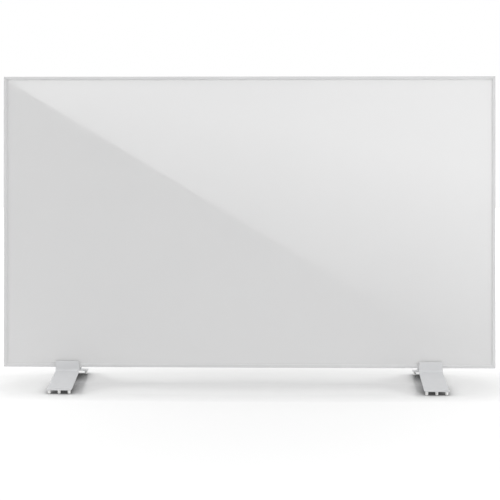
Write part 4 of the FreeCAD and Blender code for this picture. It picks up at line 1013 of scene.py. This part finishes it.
def worked(tree, operation, first, second):
    """Result of a sum on a socket and a second socket or fixed number."""
    node = tree.nodes.new("ShaderNodeMath")
    node.operation = operation
    tree.links.new(first, node.inputs[0])
    if isinstance(second, float):
        node.inputs[1].default_value = second
    else:
        tree.links.new(second, node.inputs[1])
    return node.outputs["Value"]


def seen_directly(tree):
    """1 for what the camera sees, straight, mirrored or through glass, and 0 for light on the heater."""
    path = tree.nodes.new("ShaderNodeLightPath")
    seen = path.outputs["Is Camera Ray"]
    for title in ("Is Glossy Ray", "Is Transmission Ray"):
        seen = worked(tree, "MAXIMUM", seen, path.outputs[title])
    return seen


def sky_shade(tree, reach, power):
    """Painted shade: share of open sky over a point within a reach, raised to a power. Only the camera
    sees it.
    """
    sky = tree.nodes.new("ShaderNodeAmbientOcclusion")
    sky.inputs["Distance"].default_value = reach
    path = tree.nodes.new("ShaderNodeLightPath")
    shown_power = worked(tree, "MULTIPLY", path.outputs["Is Camera Ray"], power)
    return worked(tree, "POWER", sky.outputs["AO"], shown_power)


def floor_distance(tree, across):
    """Distance on the floor from the heater's middle, with the way across scaled."""
    place = tree.nodes.new("ShaderNodeTexCoord")
    scaled = tree.nodes.new("ShaderNodeMapping")
    scaled.inputs["Scale"].default_value = (across, 1, 0)
    distance = tree.nodes.new("ShaderNodeVectorMath")
    distance.operation = "LENGTH"
    tree.links.new(place.outputs["Object"], scaled.inputs["Vector"])
    tree.links.new(scaled.outputs["Vector"], distance.inputs[0])
    return distance.outputs["Value"]


def stage_mesh(name, corners):
    """Flat piece of the studio."""
    mesh = bpy.data.meshes.new(name)
    mesh.from_pydata(corners, [], [tuple(range(len(corners)))])
    piece = bpy.data.objects.new(name, mesh)
    bpy.context.scene.collection.objects.link(piece)
    material = bpy.data.materials.new(name)
    material.use_nodes = True
    material.node_tree.nodes.remove(material.node_tree.nodes["Principled BSDF"])
    mesh.materials.append(material)
    return piece, material.node_tree


floor, tree = stage_mesh("floor", [
    (-FLOOR_REACH, -FLOOR_REACH, 0), (FLOOR_REACH, -FLOOR_REACH, 0),
    (FLOOR_REACH, FLOOR_REACH, 0), (-FLOOR_REACH, FLOOR_REACH, 0),
])
floor.visible_glossy = False
# Painted shade: the floor glows for the camera and in reflections, weakly near the heater and fully far
# off, where it turns white; the weak glow near the heater paints a wide shade round it.
glow_distance = floor_distance(tree, GLOW_SLENDER)
glow = ranged(tree, glow_distance, GLOW_FROM, GLOW_TO, FLOOR_GLOW_NEAR, FLOOR_GLOW_FAR)
glow.node.interpolation_type = "SMOOTHSTEP"
# Painted shade: the floor's colour darkens with how much of the sky is hidden, broadly under the heater
# and strongly where the feet meet it. Only the camera sees it, and it darkens the polish too.
soft_shade = sky_shade(tree, SHADE_REACH, SHADE_POWER)
contact_shade = sky_shade(tree, CONTACT_REACH, CONTACT_POWER)
painted_shade_white = worked(tree, "MULTIPLY", soft_shade, FLOOR_WHITE)
polish_distance = floor_distance(tree, POLISH_SLENDER)
polish = ranged(tree, polish_distance, POLISH_FROM, POLISH_END, FLOOR_POLISH, 0)
matt = tree.nodes.new("ShaderNodeBsdfDiffuse")
light = tree.nodes.new("ShaderNodeEmission")
both = tree.nodes.new("ShaderNodeAddShader")
gloss = tree.nodes.new("ShaderNodeBsdfGlossy")
gloss.inputs["Roughness"].default_value = POLISH_ROUGHNESS
polished = tree.nodes.new("ShaderNodeMixShader")
for source, target in (
    (worked(tree, "MULTIPLY", painted_shade_white, contact_shade), matt.inputs["Color"]),
    (worked(tree, "MULTIPLY", glow, seen_directly(tree)), light.inputs["Strength"]),
    (worked(tree, "MULTIPLY", contact_shade, POLISH_WHITE), gloss.inputs["Color"]),
    (matt.outputs["BSDF"], both.inputs[0]),
    (light.outputs["Emission"], both.inputs[1]),
    (polish, polished.inputs["Fac"]),
    (both.outputs["Shader"], polished.inputs[1]),
    (gloss.outputs["BSDF"], polished.inputs[2]),
    (polished.outputs["Shader"], tree.nodes["Material Output"].inputs["Surface"]),
):
    tree.links.new(source, target)

card, tree = stage_mesh("mirror_card", [(x, CARD_Y, z) for x, z in CARD_CORNERS])
for kind in ("camera", "diffuse", "shadow", "transmission"):
    setattr(card, "visible_" + kind, False)
place = tree.nodes.new("ShaderNodeTexCoord")
along = tree.nodes.new("ShaderNodeVectorMath")
along.operation = "DOT_PRODUCT"
along.inputs[1].default_value = CARD_SLOPE
fade = ranged(tree, along.outputs["Value"], CARD_FADE_FROM, CARD_FADE_TO, CARD_DIM, CARD_BRIGHT)
light = tree.nodes.new("ShaderNodeEmission")
for source, target in (
    (place.outputs["Object"], along.inputs[0]),
    (fade, light.inputs["Strength"]),
    (light.outputs["Emission"], tree.nodes["Material Output"].inputs["Surface"]),
):
    tree.links.new(source, target)

world = bpy.data.worlds.new("studio")
world.use_nodes = True
bpy.context.scene.world = world
tree = world.node_tree
fill = tree.nodes["Background"]
fill.inputs["Color"].default_value = WHITE
fill.inputs["Strength"].default_value = FILL_LIGHT
white = tree.nodes.new("ShaderNodeBackground")
white.inputs["Color"].default_value = WHITE
mix = tree.nodes.new("ShaderNodeMixShader")
for source, target in (
    (seen_directly(tree), mix.inputs["Fac"]),
    (fill.outputs["Background"], mix.inputs[1]),
    (white.outputs["Background"], mix.inputs[2]),
    (mix.outputs["Shader"], tree.nodes["World Output"].inputs["Surface"]),
):
    tree.links.new(source, target)


def lamp(name, place, aim, size, power):
    """Soft square lamp, turned to a point."""
    light = bpy.data.lights.new(name, "AREA")
    light.shape = "SQUARE"
    light.size = size
    light.energy = power
    piece = bpy.data.objects.new(name, light)
    piece.visible_camera = False
    piece.location = place
    piece.rotation_euler = (Vector(aim) - Vector(place)).to_track_quat("-Z", "Y").to_euler()
    bpy.context.scene.collection.objects.link(piece)
    return piece


lamp("overhead_lamp", place=(0, 0.8, 2.8), aim=(0, 0.8, 0), size=3.0, power=26)
lamp("left_lamp", place=(-2.2, -0.4, 2.3), aim=PANEL_AIM, size=1.5, power=21)
lamp("right_lamp", place=(1.8, -1.2, 1.3), aim=PANEL_AIM, size=1.5, power=13)
floor_only = bpy.data.collections.new("floor_only")
floor_only.objects.link(floor)
for name, side, power in (
    ("left_low_lamp", -1, LEFT_LOW_POWER),
    ("right_low_lamp", 1, RIGHT_LOW_POWER),
):
    place = (side * LOW_LAMP_X, LOW_LAMP_Y, LOW_LAMP_Z)
    low_lamp = lamp(name, place, aim=(side * LOW_LAMP_AIM_X, 0, 0), size=LOW_LAMP_SIZE, power=power)
    low_lamp.light_linking.receiver_collection = floor_only

# Camera: stands level in front of the heater, a little right of its middle and three quarters up the
# panel. Its long lens is shifted down, so that upright edges stay upright as in the photograph.
CAMERA_PLACE = (0.0609, -2.6623, 0.4795)
CAMERA_TURN = (math.radians(90), 0, math.radians(1.254))
CAMERA_LENS = 93.47
CAMERA_SHIFT = -0.1999

lens = bpy.data.cameras.new("camera")
lens.lens = CAMERA_LENS
lens.shift_y = CAMERA_SHIFT
camera = bpy.data.objects.new("camera", lens)
camera.location = CAMERA_PLACE
camera.rotation_euler = CAMERA_TURN
bpy.context.scene.collection.objects.link(camera)
bpy.context.scene.camera = camera
bpy.context.scene.view_settings.view_transform = "Standard"
